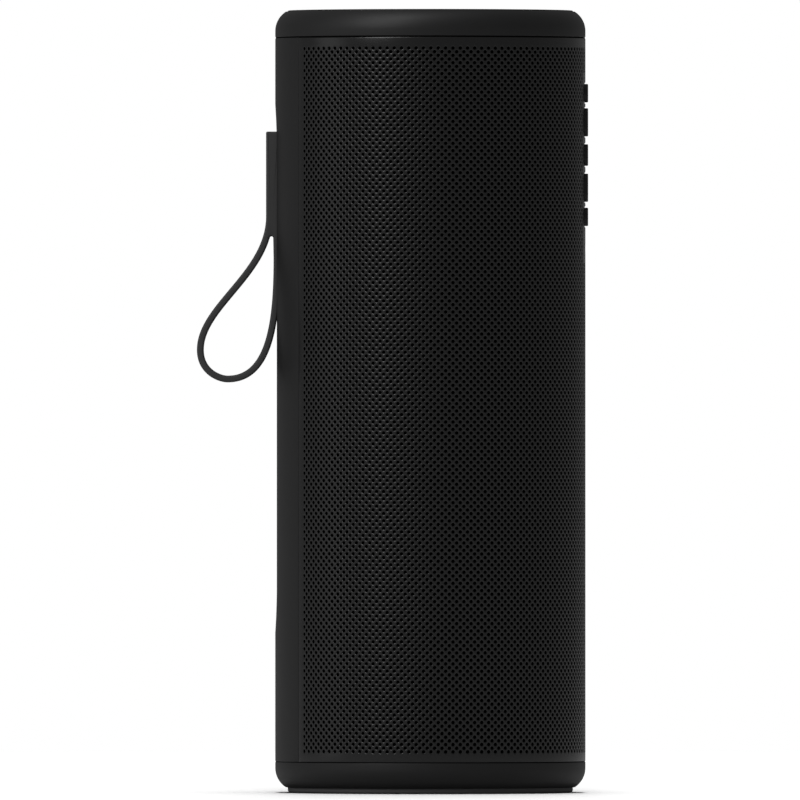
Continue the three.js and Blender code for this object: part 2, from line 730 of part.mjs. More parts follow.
// A half-roll of rubber whose lip is glued to a flange.
function surround(innerRadius, outerRadius, matrix) {
  const rollEnd = outerRadius - surroundLip;
  const rollFront = rollBack + surroundWall;
  const upper = arch([innerRadius, rollFront], [rollEnd, rollFront], surroundRise);
  const lower = arch(
    [innerRadius + surroundWall, rollBack],
    [rollEnd - surroundWall, rollBack],
    surroundRise - surroundWall / 2,
  ).reverse();
  const profile = [...upper, [outerRadius, rollFront], [outerRadius, rollBack], ...lower];
  return revolve(profile, partSegments, matrix);
}

// A driver facing +X at some height: a frame, a magnet with a slot for the coil, a cone and a surround.
function addDriver(prefix, z) {
  const place = new THREE.Matrix4().makeTranslation(0, 0, z).multiply(alongX);
  const flangeInner = driverFlangeRadius - driverFlangeWidth;
  const backHole = driverBackRadius - driverBackPlate;
  const frame = [
    [driverFlangeRadius, flangeFront],
    [driverFlangeRadius, flangeBack],
    [driverOpening - clearance, flangeBack],
    [driverBackRadius, driverBackDepth + driverFrameWall],
    [driverBackRadius, driverBackDepth],
    [backHole, driverBackDepth],
    [backHole, driverBackDepth + driverBackWall],
    [driverBackRadius - driverFrameWall, driverBackDepth + driverBackWall],
    [flangeInner, flangeBack + driverFrameWall / 2],
    [flangeInner, flangeFront],
  ];
  const magnetFront = driverBackDepth - clearance;
  const slotInner = coilRadius - coilGap;
  const slotOuter = coilRadius + coilWall + coilGap;
  const magnet = [
    [0, magnetBack],
    [magnetRadius, magnetBack],
    [magnetRadius, magnetFront],
    [slotOuter, magnetFront],
    [slotOuter, magnetBack + magnetPlate],
    [slotInner, magnetBack + magnetPlate],
    [slotInner, magnetFront + driverBackWall],
    [0, magnetFront + driverBackWall],
  ];
  const coneEdge = driverFlangeRadius - driverConeInset;
  const coilOuter = coilRadius + coilWall;
  const cone = [
    [0, coneApex + coneWall + dustCapRise],
    [coilRadius / 2, coneApex + coneWall + dustCapShoulder],
    [coilRadius, coneApex + coneWall],
    [coneEdge, rollBack + coneWall / 2],
    [coneEdge, rollBack - coneWall / 2],
    [coilOuter, coneApex],
    [coilOuter, coilEnd],
    [coilRadius, coilEnd],
    [coilRadius, coneApex - coneWall],
    [0, coneApex + dustCapRise],
  ];
  addPiece(`${prefix}_driver_frame`, revolve(frame, partSegments, place), finishes.magnet);
  addPiece(`${prefix}_driver_magnet`, revolve(magnet, partSegments, place), finishes.magnet);
  addPiece(`${prefix}_driver_cone`, revolve(cone, partSegments, place), finishes.cone);
  const roll = surround(coneEdge + clearance, driverFlangeRadius - clearance, place);
  addPiece(`${prefix}_driver_surround`, roll, finishes.rubber);
}

// A passive radiator facing +Y or -Y: a frame, a weighted plate and the surround that it moves on.
function addRadiator(prefix, side) {
  const turn = side > 0 ? alongY : sideways;
  const place = new THREE.Matrix4().makeTranslation(0, 0, radiatorHeight).multiply(turn);
  const frameInner = radiatorFlangeRadius - radiatorFlangeWidth;
  const frame = [
    [frameInner, flangeBack],
    [radiatorFlangeRadius, flangeBack],
    [radiatorFlangeRadius, flangeFront],
    [frameInner, flangeFront],
  ];
  const plateEdge = radiatorFlangeRadius - radiatorPlateInset;
  const plateBack = rollBack - radiatorPlateWall / 2;
  const plate = [
    [0, plateBack - radiatorWeightWall],
    [radiatorWeightRadius, plateBack - radiatorWeightWall],
    [radiatorWeightRadius, plateBack],
    [plateEdge, plateBack],
    [plateEdge, plateBack + radiatorPlateWall],
    [0, plateBack + radiatorPlateWall],
  ];
  addPiece(`${prefix}_radiator_frame`, revolve(frame, partSegments, place), finishes.magnet);
  const roll = surround(plateEdge + clearance, radiatorFlangeRadius - clearance, place);
  addPiece(`${prefix}_radiator_surround`, roll, finishes.rubber);
  addPiece(`${prefix}_radiator_plate`, revolve(plate, partSegments, place), finishes.cone);
}

for (const [prefix, z] of Object.entries(driverHeights)) addDriver(prefix, z);
for (const [prefix, side] of Object.entries(radiatorSides)) addRadiator(prefix, side);

// ---------- Battery and main board ----------
const cellTop = cellBottom + cellLength;
const cradleBack = chargeBoardFront + cradleGap;
const cellX = cradleBack + cradleWall + clearance + cellRadius;
const cellPlaces = { left: [cellX, cellSpread], right: [cellX, -cellSpread] };
let cradle = block(
  cradleBack,
  cradleBack + cradleDepth,
  -cradleHalfWidth,
  cradleHalfWidth,
  cellBottom + cradleInset,
  cellTop - cradleInset,
);
for (const [side, place] of Object.entries(cellPlaces)) {
  const cell = rod(cellRadius, "Z", cellBottom, cellTop, place, 32);
  addPiece(`battery_cell_${side}`, cell, finishes.cell);
  cradle = cradle.subtract(rod(cellRadius + clearance, "Z", cellBottom, cellTop, place, 32));
}
addPiece("battery_cradle", cradle, finishes.cabinet);

const boardFront = mainBoardBack + boardThickness;
let mainBoard = block(
  mainBoardBack,
  boardFront,
  -mainBoardHalfWidth,
  mainBoardHalfWidth,
  mainBoardBottom,
  mainBoardTop,
);
const chips = [[-9, 118, 7], [8, 122, 5], [-7, 140, 6], [9, 144, 8]]; // each one's Y, Z and side
for (const [y, z, size] of chips) {
  const half = size / 2;
  const [chipBack, chipFront] = [boardFront - boardThickness / 2, boardFront + chipHeight];
  mainBoard = mainBoard.add(block(chipBack, chipFront, y - half, y + half, z - half, z + half));
}
boardBossZ.forEach((z, i) => {
  const hole = rod(screwRadius, "X", mainBoardBack - 1, boardFront + 1, [0, z]);
  mainBoard = mainBoard.subtract(hole);
  const headBack = boardFront + clearance;
  const headFront = headBack + boardScrewHead;
  const head = rod(screwHeadRadius, "X", headBack, headFront, [0, z]);
  const shank = rod(screwRadius - clearance, "X", mainBoardBack - boardScrewReach, headFront, [0, z]);
  addPiece(`board_screw_${i + 1}`, head.add(shank), finishes.steel);
});
addPiece("main_board", mainBoard, finishes.board);

// ---------- Keys ----------
const carrierHalfWidth = keyWindowHalfWidth + cabinetWall - clearance;
const carrierHalfHeight = keyWindowHalfHeight - clearance;

// A plate behind the keys, as large as the key carrier.
function keyPlate(x0, x1) {
  return block(
    x0,
    x1,
    -carrierHalfWidth,
    carrierHalfWidth,
    keyColumnZ - carrierHalfHeight,
    keyColumnZ + carrierHalfHeight,
  );
}

let carrier = keyPlate(carrierBack, carrierFront).intersect(disc(clothInner - clearance, 0, bodyTop));
keys.forEach((key, i) => {
  const place = [0, keyColumnZ + key.offset];
  carrier = carrier.subtract(rod(keyPostRadius + clearance, "X", 0, bodyRadius, place));
  const cap = keyOutline(key, 0, keyFlangeFront - keyFlange / 2, keyFace);
  const flange = keyOutline(key, keyFlange, keyFlangeBack, keyFlangeFront);
  const post = rod(keyPostRadius, "X", keyPostEnd, keyFlangeFront, place);
  addPiece(key.name, cap.add(flange).add(post), finishes.key);
  const [y, z] = place;
  const switchBack = plungerEnd - plungerHeight - switchHeight;
  const switchFront = plungerEnd - plungerHeight;
  const half = switchSize / 2;
  const body = block(switchBack, switchFront, y - half, y + half, z - half, z + half);
  const plunger = rod(plungerRadius, "X", switchBack + switchHeight / 2, plungerEnd, place);
  addPiece(`tact_switch_${i + 1}`, body.add(plunger), finishes.steel);
});
addPiece("key_carrier", carrier, finishes.cabinet);
addPiece("key_membrane", keyPlate(membraneFront - membraneThickness, membraneFront), finishes.rubber);
addPiece("key_board", keyPlate(keyBoardFront - boardThickness, keyBoardFront), finishes.board);
const light = rod(lightRadius, "X", cabinetInner - cabinetWall, bodyRadius - lightInset, lightPlace);
addPiece("status_light", light, finishes.light);

export default speaker;
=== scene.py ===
"""A shower speaker: perforated grille, moulded spine and caps, silicone strap, keys and port flap.

Sizes are in millimetres until a mesh is written, and in metres after that. The body's axis is Z and the
keys face +X. The strap and the charging port are on -X.
"""

import logging
from dataclasses import dataclass, field
from enum import Enum
from math import asin, atan2, cos, pi, radians, sin, sqrt
from typing import Iterable, Sequence

import bpy
import numpy as np
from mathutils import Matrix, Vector

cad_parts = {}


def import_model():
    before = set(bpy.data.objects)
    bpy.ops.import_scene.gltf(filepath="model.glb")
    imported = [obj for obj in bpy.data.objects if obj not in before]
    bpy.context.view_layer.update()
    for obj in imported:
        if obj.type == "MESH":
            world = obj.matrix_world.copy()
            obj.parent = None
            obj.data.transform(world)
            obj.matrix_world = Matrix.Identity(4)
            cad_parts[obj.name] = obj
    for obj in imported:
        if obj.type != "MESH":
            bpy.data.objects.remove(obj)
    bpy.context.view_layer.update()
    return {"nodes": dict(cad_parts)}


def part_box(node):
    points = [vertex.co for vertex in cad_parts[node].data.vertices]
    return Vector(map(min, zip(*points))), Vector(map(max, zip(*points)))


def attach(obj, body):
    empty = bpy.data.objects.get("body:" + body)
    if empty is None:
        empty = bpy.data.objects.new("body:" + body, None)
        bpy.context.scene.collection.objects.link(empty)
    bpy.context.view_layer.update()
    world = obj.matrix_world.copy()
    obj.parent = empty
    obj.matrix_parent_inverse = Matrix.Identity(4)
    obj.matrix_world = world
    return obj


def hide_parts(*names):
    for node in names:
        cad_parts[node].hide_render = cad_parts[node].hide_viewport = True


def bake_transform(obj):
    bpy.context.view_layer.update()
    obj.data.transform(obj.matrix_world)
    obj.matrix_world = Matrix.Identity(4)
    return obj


Array = np.ndarray
MM = 0.001
ORIGIN = (0.0, 0.0, 0.0)
LOG = logging.getLogger("shower_speaker")


# ---------- Surfaces ----------
class Surface:
    """Gathers grids of points into one mesh. Each grid is turned to face away from a point inside."""

    def __init__(self) -> None:
        """Starts with no points and no faces."""
        self.points: list[Array] = []
        self.faces: list[Array] = []
        self.count = 0

    def take(self, points: Array, faces: Iterable[Array]) -> None:
        """Adds points and the faces between them.

        Args:
            points: Places in millimetres, one row each.
            faces: Arrays of corner numbers, three or four to a row, counted from these points' first.
        """
        self.faces += [face + self.count for face in faces if len(face)]
        self.points.append(points)
        self.count += len(points)

    def grid(self, points: Array, inside: Sequence[float] = ORIGIN, closed: bool = False,
             round_rows: bool = True) -> None:
        """Adds a grid whose rows are joined one to the next.

        The corner numbers of cell (u, v) are u * n + v, its right neighbour, and the same two of the next
        row. The grid is turned over if its faces look towards the inside point on the whole, which is the
        sign of the sum of normal times area times the way from that point.

        Args:
            points: Places as rows by columns by three.
            inside: A point that the faces look away from.
            closed: Whether the last row also joins the first.
            round_rows: Whether every row closes on itself.
        """
        rows, columns = points.shape[:2]
        u = np.arange(rows if closed else rows - 1)[:, None]
        v = np.arange(columns if round_rows else columns - 1)[None, :]
        here, following, beside = u * columns, (u + 1) % rows * columns, (v + 1) % columns
        corners = (here + v, here + beside, following + beside, following + v)
        faces, places = np.stack(corners, axis=-1).reshape(-1, 4), points.reshape(-1, 3)
        a, b, c, d = (places[faces[:, k]] for k in range(4))
        away = (a + b + c + d) / 4 - np.array(inside)
        outward = (np.cross(c - a, d - b) * away).sum() > 0
        self.take(places, [faces if outward else faces[:, ::-1]])

    def make(self, name: str, sharp: float = 35.0, weld: bool = True) -> bpy.types.Object:
        """Writes the mesh, in metres, and links it.

        Args:
            name: The piece's name.
            sharp: Edges that turn by more than this many degrees stay crisp.
            weld: Whether points in the same place become one, which closes seams and poles.

        Returns:
            The new object, at the origin.
        """
        points = np.concatenate(self.points) * MM
        faces = self.faces
        if weld:
            points, faces = welded(points, faces)
        mesh = bpy.data.meshes.new(name)
        mesh.vertices.add(len(points))
        mesh.vertices.foreach_set("co", points.astype(np.float32).ravel())
        corners = np.concatenate([face.ravel() for face in faces])
        totals = np.concatenate([np.full(len(face), face.shape[1]) for face in faces])
        mesh.loops.add(len(corners))
        mesh.loops.foreach_set("vertex_index", corners.astype(np.int32))
        mesh.polygons.add(len(totals))
        starts = np.concatenate([[0], np.cumsum(totals)[:-1]]).astype(np.int32)
        mesh.polygons.foreach_set("loop_start", starts)
        mesh.polygons.foreach_set("use_smooth", np.ones(len(totals), bool))
        mesh.update(calc_edges=True)
        mesh.validate()
        mesh.set_sharp_from_angle(angle=radians(sharp))
        piece = bpy.data.objects.new(name, mesh)
        bpy.context.scene.collection.objects.link(piece)
        return piece


def shaped(name: str, points: Array, inside: Sequence[float] = ORIGIN, closed: bool = False,
           sharp: float = 35.0) -> bpy.types.Object:
    """A piece that is one grid whose rows close on themselves.

    Args:
        name: The piece's name.
        points: Places as rows by columns by three, in millimetres.
        inside: A point that the faces look away from.
        closed: Whether the last row also joins the first.
        sharp: Edges that turn by more than this many degrees stay crisp.

    Returns:
        The new object, at the origin.
    """
    surface = Surface()
    surface.grid(points, inside, closed)
    return surface.make(name, sharp)


def welded(points: Array, faces: list[Array]) -> tuple[Array, list[Array]]:
    """Makes points in the same place one, and drops the faces that shrink to a line.

    Places are rounded to a tenth of a micrometre and compared. A four-cornered face that has lost one
    corner becomes a triangle.

    Args:
        points: Places in metres.
        faces: Corner numbers, three or four to a row.

    Returns:
        The fewer points and the faces between them.
    """
    places = np.round(points * 1e7).astype(np.int64)
    _, first, which = np.unique(places, axis=0, return_index=True, return_inverse=True)
    kept: list[Array] = []
    for face in faces:
        face = which.ravel()[face]
        if face.shape[1] == 4:
            same = face == np.roll(face, -1, axis=1)
            kept.append(face[same.sum(axis=1) == 0])
            once = face[same.sum(axis=1) == 1]
            drop = np.argmax(once == np.roll(once, -1, axis=1), axis=1)
            keep = np.arange(4)[None, :] != drop[:, None]
            face = once[keep].reshape(-1, 3)
        a, b, c = face.T
        kept.append(face[(a != b) & (b != c) & (c != a)])
    return points[first], [face for face in kept if len(face)]


def filleted(corners: Sequence[tuple[float, float, float]], steps: int = 6) -> Array:
    """An open line through corners, each one rounded by an arc that touches both its sides.

    The arc starts at radius / tan(half the corner's angle) before the corner and ends as far after it.
    Its points are the centre plus the start's way times sin(span - turn) / sin(span), plus the end's way
    times sin(turn) / sin(span).

    Args:
        corners: Each corner's two coordinates and its radius, which is 0 where it stays crisp.
        steps: The steps along each arc.

    Returns:
        The line's points, one row each.
    """
    line: list[Array] = []
    for k, (x, y, radius) in enumerate(corners):
        here = np.array([x, y], float)
        if radius == 0 or k in (0, len(corners) - 1):
            line.append(here[None, :])
            continue
        back = np.array(corners[k - 1][:2], float) - here
        on = np.array(corners[k + 1][:2], float) - here
        back, on = back / np.linalg.norm(back), on / np.linalg.norm(on)
        half = np.arccos(np.clip(back @ on, -1, 1)) / 2
        middle = here + (back + on) / np.linalg.norm(back + on) * radius / np.sin(half)
        start = here + back * radius / np.tan(half) - middle
        end = here + on * radius / np.tan(half) - middle
        span = pi - 2 * half
        turn = np.linspace(0, 1, steps + 1)[:, None] * span
        line.append(middle + (start * np.sin(span - turn) + end * np.sin(turn)) / np.sin(span))
    return np.concatenate(line)


def lathed(profile: Array, steps: int = 160) -> Array:
    """Turns a profile about Z: x is radius times cosine, y is radius times sine.

    Args:
        profile: Radius and height, one row each.
        steps: The steps round the axis.

    Returns:
        The grid, a row for each point of the profile.
    """
    turn = np.arange(steps) * 2 * pi / steps
    radius, height = profile[:, 0, None], profile[:, 1, None]
    return np.stack([radius * np.cos(turn), radius * np.sin(turn), height + 0 * turn], axis=-1)


def wrapped(across: Array, height: Array, radius: Array | float) -> Array:
    """Places on a cylinder about Z: x is radius times cosine, y is radius times sine.

    Args:
        across: The way round, as an angle in radians from +X.
        height: Places along Z.
        radius: The distance from the axis.

    Returns:
        Places in space.
    """
    across, height, radius = np.broadcast_arrays(across, height, radius)
    return np.stack([radius * np.cos(across), radius * np.sin(across), height], axis=-1)


def frame_line(half_width: float, half_height: float, corner: float, grow: float = 0.0,
               crisp: bool = False) -> Array:
    """The outline of a rectangle with round corners, always with the same number of points.

    Every point of the crisp rectangle has its nearest place on the smaller rectangle that the corners'
    centres make. The rounded outline's point lies on the line from that place, at the corner's radius.

    Args:
        half_width: Half the first size.
        half_height: Half the second size.
        corner: The corners' radius.
        grow: How much further out the outline lies, with the corners' radius grown too.
        crisp: Whether the corners stay square.

    Returns:
        The outline's points, anticlockwise.
    """
    reach = np.tan(np.linspace(0, pi / 4, 6))[1:]

    def run(half: float) -> Array:
        """One side's places, closer together at its ends."""
        straight = half - corner
        flat = np.linspace(-straight, straight, 9)
        return np.concatenate([-straight - corner * reach[::-1], flat, straight + corner * reach])[:-1]

    upright, level = run(half_height), run(half_width)
    right = np.stack([0 * upright + half_width, upright], axis=1)
    top = np.stack([-level, 0 * level + half_height], axis=1)
    square = np.concatenate([right, top, -right, -top])
    room = np.array([half_width - corner, half_height - corner])
    core = np.clip(square, -room, room)
    way = square - core
    if crisp:
        return square + np.sign(np.round(way, 9)) * grow
    return core + unit(way) * (corner + grow)


def unit(ways: Array) -> Array:
    """The same ways, one row each, all one long."""
    return ways / np.linalg.norm(ways, axis=1, keepdims=True)


def sideways(line: Array) -> Array:
    """Each point's way to the right of the line: its direction (x, y) turned to (y, -x)."""
    along = unit(np.gradient(line, axis=0))
    return np.stack([along[:, 1], -along[:, 0]], axis=1)


def facing(line: Array, x: Array | float, height: float = 0.0) -> Array:
    """Stands an outline of Y and Z up at X, raised by a height."""
    return np.stack([x + 0 * line[:, 0], line[:, 0], height + line[:, 1]], axis=1)


def pressed(line: Array, radius: float, drop: float = 0.0, height: float = 0.0) -> Array:
    """Lays an outline of Y and Z on a cylinder about Z, and moves it in by a drop along X.

    X is the root of the squared radius less the squared Y, less the drop.
    """
    return facing(line, np.sqrt(radius**2 - line[:, 0] ** 2) - drop, height)


def pad(sizes: Sequence[float], rings: Iterable[tuple[float, float, float]], height: float) -> Array:
    """Rings of a rounded rectangle that stand one behind the other along X.

    Args:
        sizes: The rectangle's half width, half height and corner radius.
        rings: For each ring, the share that it is shrunk to, how much it has grown before that, and X.
        height: The height of the rectangle's middle.

    Returns:
        The grid, a row for each ring.
    """
    return np.stack([facing(frame_line(*sizes, grow=grow) * share, x, height) for share, grow, x in rings])


def rounding(radius: float, steps: int = 4) -> list[tuple[float, float]]:
    """A quarter turn over an edge: (how far in from the side, how far below the face) pairs.

    The first is radius times (1 - cosine) and the second radius times (1 - sine), from the side to the face.
    """
    turns = np.linspace(0, pi / 2, steps + 1)
    return [(radius * (1 - cos(turn)), radius * (1 - sin(turn))) for turn in turns]


def spaced(line: Array, count: int) -> Array:
    """Places at even lengths along a line.

    Args:
        line: The line's points, one row each.
        count: How many places the result has.

    Returns:
        The places, from the line's first point to its last.
    """
    length = np.concatenate([[0], np.cumsum(np.linalg.norm(np.diff(line, axis=0), axis=1))])
    even = np.linspace(0, length[-1], count)
    return np.stack([np.interp(even, length, line[:, k]) for k in range(2)], axis=1)


# ---------- Shader nodes ----------
class Value:
    """A shader socket that Python's operators work on. Each operator adds one Math node."""

    def __init__(self, nodes: "Nodes", socket: bpy.types.NodeSocket) -> None:
        """Keeps the socket and the node tree that it belongs to."""
        self.nodes, self.socket = nodes, socket

    def _math(self, operation: str, first: object, second: object) -> "Value":
        """One Math node of that operation on two inputs."""
        return self.nodes.value("ShaderNodeMath", {"operation": operation}, {0: first, 1: second})

    def __add__(self, other: object) -> "Value":
        """self + other."""
        return self._math("ADD", self, other)

    def __sub__(self, other: object) -> "Value":
        """self - other."""
        return self._math("SUBTRACT", self, other)

    def __rsub__(self, other: object) -> "Value":
        """other - self."""
        return self._math("SUBTRACT", other, self)

    def __mul__(self, other: object) -> "Value":
        """self * other."""
        return self._math("MULTIPLY", self, other)

    __radd__, __rmul__ = __add__, __mul__

    def sine(self) -> "Value":
        """The sine of a value in radians."""
        return self._math("SINE", self, 0.0)

    def absolute(self) -> "Value":
        """The value without its sign."""
        return self._math("ABSOLUTE", self, 0.0)

    def larger(self, other: object) -> "Value":
        """The larger of the two."""
        return self._math("MAXIMUM", self, other)

    def smaller(self, other: object) -> "Value":
        """The smaller of the two."""
        return self._math("MINIMUM", self, other)

    def above(self, other: object) -> "Value":
        """1 where the value is above the other, 0 elsewhere."""
        return self._math("GREATER_THAN", self, other)


class Nodes:
    """Writes the nodes of a material or a world."""

    def __init__(self, owner: bpy.types.Material | bpy.types.World) -> None:
        """Empties the owner's node tree."""
        owner.use_nodes = True
        self.owner, self.tree = owner, owner.node_tree
        self.tree.nodes.clear()

    def add(self, kind: str, settings: dict | None = None, inputs: dict | None = None) -> bpy.types.Node:
        """Adds a node.

        Args:
            kind: The node's type.
            settings: Its properties, set first.
            inputs: Each socket's value or the value or socket that feeds it.

        Returns:
            The node.
        """
        node = self.tree.nodes.new(kind)
        for name, setting in (settings or {}).items():
            setattr(node, name, setting)
        for key, given in (inputs or {}).items():
            socket = node.inputs[key]
            source = given.socket if isinstance(given, Value) else given
            if isinstance(source, bpy.types.NodeSocket):
                self.tree.links.new(source, socket)
            else:
                socket.default_value = source
        return node

    def value(self, kind: str, settings: dict | None = None, inputs: dict | None = None,
              output: str | int = 0) -> Value:
        """Adds a node and gives one of its outputs as a Value."""
        return Value(self, self.add(kind, settings, inputs).outputs[output])

    def place(self) -> Value:
        """The point on the object, in metres."""
        return self.value("ShaderNodeTexCoord", output="Object")

    def noise(self, size: float, detail: float = 2.0, at: Value | None = None) -> Value:
        """A noise from 0 to 1.

        Args:
            size: About how large its lumps are, in millimetres.
            detail: How many finer layers it has.
            at: The coordinates that it reads, or the object's own.

        Returns:
            The noise.
        """
        inputs = {"Vector": at or self.place(), "Scale": 1 / (size * MM), "Detail": detail}
        return self.value("ShaderNodeTexNoise", {"noise_dimensions": "3D"}, inputs, "Fac")

    def patches(self) -> Value:
        """A slow noise for changes of tone and gloss over the whole piece."""
        return self.noise(14)

    def blended(self, share: object, first: Sequence[float], second: Sequence[float]) -> Value:
        """A colour between two, by a share from 0 to 1."""
        node = self.add("ShaderNodeMix", {"data_type": "RGBA"}, {0: share, 6: (*first, 1), 7: (*second, 1)})
        return Value(self, node.outputs[2])

    def bump(self, height: Value, depth: float) -> Value:
        """A normal from a height of 0 to 1 that is that many millimetres deep."""
        return self.value("ShaderNodeBump", {}, {"Height": height, "Distance": depth * MM, "Strength": 1.0})

    def finish(self, **sockets: object) -> bpy.types.Material:
        """Ends in a Principled surface with those sockets, spaces written as underscores.

        Args:
            **sockets: Each socket's value, or the value that feeds it.

        Returns:
            The material or world.
        """
        inputs = {name.replace("_", " "): given for name, given in sockets.items()}
        surface = self.add("ShaderNodeBsdfPrincipled", {}, inputs)
        self.add("ShaderNodeOutputMaterial", {}, {"Surface": surface.outputs[0]})
        return self.owner


# ---------- Finishes ----------
def scaled(tone: Sequence[float], share: float) -> tuple[float, ...]:
    """A colour made darker or lighter."""
    return tuple(channel * share for channel in tone)


@dataclass(frozen=True)
class Moulding:
    """Moulded plastic, rubber, silicone or paint: a fine grain, with slow changes of tone and gloss."""

    name: str
    tone: tuple[float, float, float]
    gloss: float
    grain: float = 0.22
    depth: float = 0.012
    cloudiness: float = 0.12
    level: float = 0.5
    uneven: tuple[float, float] = (0.08, 0.06)

    def material(self) -> bpy.types.Material:
        """Mixes a darker and a lighter tone by both noises, roughens by both, and dents by the fine one.

        Returns:
            The material.
        """
        nodes = Nodes(bpy.data.materials.new(self.name))
        fine, coarse = nodes.noise(self.grain, 3), nodes.patches()
        dark, light = scaled(self.tone, 1 - self.cloudiness), scaled(self.tone, 1 + self.cloudiness)
        slow, quick = self.uneven
        return nodes.finish(
            Base_Color=nodes.blended(coarse * 0.7 + fine * 0.3, dark, light),
            Roughness=self.gloss + (coarse - 0.5) * slow + (fine - 0.5) * quick,
            Specular_IOR_Level=self.level,
            Normal=nodes.bump(fine, self.depth),
        )


@dataclass(frozen=True)
class PaintedSkin:
    """Powder paint: a dark undercoat, a gloss lacquer that the holes lack, and painted shade on their walls.
    """

    name: str
    tone: tuple[float, float, float]
    gloss: float
    radius: float
    grain: float = 0.16
    depth: float = 0.008
    below_rim: float = 0.03
    fade: float = 0.08
    lacquer: float = 1.6
    undercoat: float = 0.7
    uneven: float = 0.1
    cloudiness: float = 0.08
    # Painted shade: the near-black colour that the holes' walls take.
    painted_hole_shade: tuple[float, float, float, float] = (0.001, 0.001, 0.001, 1)

    def material(self) -> bpy.types.Material:
        """Turns the holes' walls to painted shade, nearly black, and takes the lacquer off them, by how far
        they lie below the skin.

        The share is the skin's radius less the distance from Z, counted from just under the rolled rims,
        over the depth in which the painted shade fades in.

        Returns:
            The material.
        """
        nodes = Nodes(bpy.data.materials.new(self.name))
        level = {0: nodes.place(), 1: (1.0, 1.0, 0.0)}
        flat = nodes.add("ShaderNodeVectorMath", {"operation": "MULTIPLY"}, level)
        away = nodes.value("ShaderNodeVectorMath", {"operation": "LENGTH"}, {0: flat.outputs[0]}, "Value")
        # Painted shade mask: 0 on the skin, rising to 1 down a hole's wall; it mixes in the painted shade
        # and takes the lacquer off.
        sunk = ((self.radius - self.below_rim) * MM - away) * (1 / (self.fade * MM))
        below = sunk.larger(0.0).smaller(1.0)
        fine, coarse = nodes.noise(self.grain, 3), nodes.patches()
        dark, light = scaled(self.tone, 1 - self.cloudiness), scaled(self.tone, 1 + self.cloudiness)
        mixed = {0: below, 6: nodes.blended(coarse, dark, light), 7: self.painted_hole_shade}
        shade = nodes.add("ShaderNodeMix", {"data_type": "RGBA"}, mixed)
        return nodes.finish(
            Base_Color=shade.outputs[2],
            Roughness=self.undercoat + (coarse - 0.5) * self.uneven + (fine - 0.5) * self.uneven,
            Specular_IOR_Level=0.0,
            Coat_Weight=1 - below,
            Coat_Roughness=self.gloss,
            Coat_IOR=self.lacquer,
            Normal=nodes.bump(fine, self.depth),
        )


@dataclass(frozen=True)
class Metal:
    """Bare or plated metal with fine lines drawn along one way."""

    name: str
    tone: tuple[float, float, float]
    gloss: float
    drawn: tuple[float, float, float] = (1.0, 1.0, 0.08)
    uneven: float = 0.15
    depth: float = 0.004

    def material(self) -> bpy.types.Material:
        """Stretches a fine noise along Z, and lets it change the gloss and the surface.

        Returns:
            The material.
        """
        nodes = Nodes(bpy.data.materials.new(self.name))
        stretched = nodes.value("ShaderNodeMapping", {}, {"Vector": nodes.place(), "Scale": self.drawn})
        lines, stains = nodes.noise(0.3, 4, stretched), nodes.noise(5, 3)
        return nodes.finish(
            Base_Color=nodes.blended(stains, scaled(self.tone, 0.8), self.tone),
            Metallic=1.0,
            Roughness=self.gloss + (lines - 0.5) * self.uneven,
            Normal=nodes.bump(lines, self.depth),
        )


@dataclass(frozen=True)
class Woven:
    """Plain-woven acoustic cloth that reads the piece's own UV map, whose unit is a metre."""

    name: str
    tone: tuple[float, float, float]
    thread: float = 0.24
    fibre: float = 0.09
    gloss: float = 0.82
    depth: float = 0.06

    def material(self) -> bpy.types.Material:
        """Crosses two sets of threads.

        Each set's height is the size of a sine along its own way. The set on top changes with the sign of
        the product of both sines, so they go over and under each other.

        Returns:
            The material.
        """
        nodes = Nodes(bpy.data.materials.new(self.name))
        flat = nodes.value("ShaderNodeUVMap", {"uv_map": "cut"})
        split = nodes.add("ShaderNodeSeparateXYZ", {}, {0: flat})
        warp, weft = ((Value(nodes, split.outputs[k]) * (pi / (self.thread * MM))).sine() for k in range(2))
        over = (warp * weft).above(0.0)
        weave = over * warp.absolute() + (1 - over) * weft.absolute()
        fibre = nodes.noise(self.fibre, 3)
        height = weave * 0.8 + fibre * 0.2
        return nodes.finish(
            Base_Color=nodes.blended(height, scaled(self.tone, 0.3), self.tone),
            Roughness=self.gloss + fibre * 0.12,
            Specular_IOR_Level=0.2,
            Normal=nodes.bump(height, self.depth),
        )


@dataclass(frozen=True)
class Printed:
    """A circuit board: green lacquer over a pattern of copper runs."""

    name: str
    tone: tuple[float, float, float] = (0.012, 0.09, 0.035)
    gloss: float = 0.34
    cell: float = 1.1
    run: float = 0.35
    depth: float = 0.02

    def material(self) -> bpy.types.Material:
        """Lightens the lacquer wherever a blocky cell pattern says that copper runs under it.

        Returns:
            The material.
        """
        nodes = Nodes(bpy.data.materials.new(self.name))
        cells = {"Vector": nodes.place(), "Scale": 1 / (self.cell * MM)}
        runs = nodes.value("ShaderNodeTexVoronoi", {"distance": "CHEBYCHEV"}, cells, "Distance")
        copper = runs.above(self.run)
        return nodes.finish(
            Base_Color=nodes.blended(copper, self.tone, scaled(self.tone, 1.9)),
            Roughness=self.gloss + nodes.noise(2) * 0.1,
            Normal=nodes.bump(copper * 0.6 + nodes.noise(0.3) * 0.4, self.depth),
        )


@dataclass(frozen=True)
class Lens:
    """A milky light pipe, faintly lit from behind."""

    name: str = "light_lens"
    shade: tuple[float, float, float] = (0.4, 0.42, 0.44)
    tone: tuple[float, float, float] = (0.62, 0.64, 0.66)
    gloss: float = 0.22
    glow: float = 0.03

    def material(self) -> bpy.types.Material:
        """Mixes two pale tones by a soft noise and lets them glow a little.

        Returns:
            The material.
        """
        nodes = Nodes(bpy.data.materials.new(self.name))
        milk = nodes.blended(nodes.noise(0.6), self.shade, self.tone)
        return nodes.finish(
            Base_Color=milk,
            Roughness=self.gloss + nodes.noise(0.3) * 0.1,
            Emission_Color=milk,
            Emission_Strength=self.glow,
        )


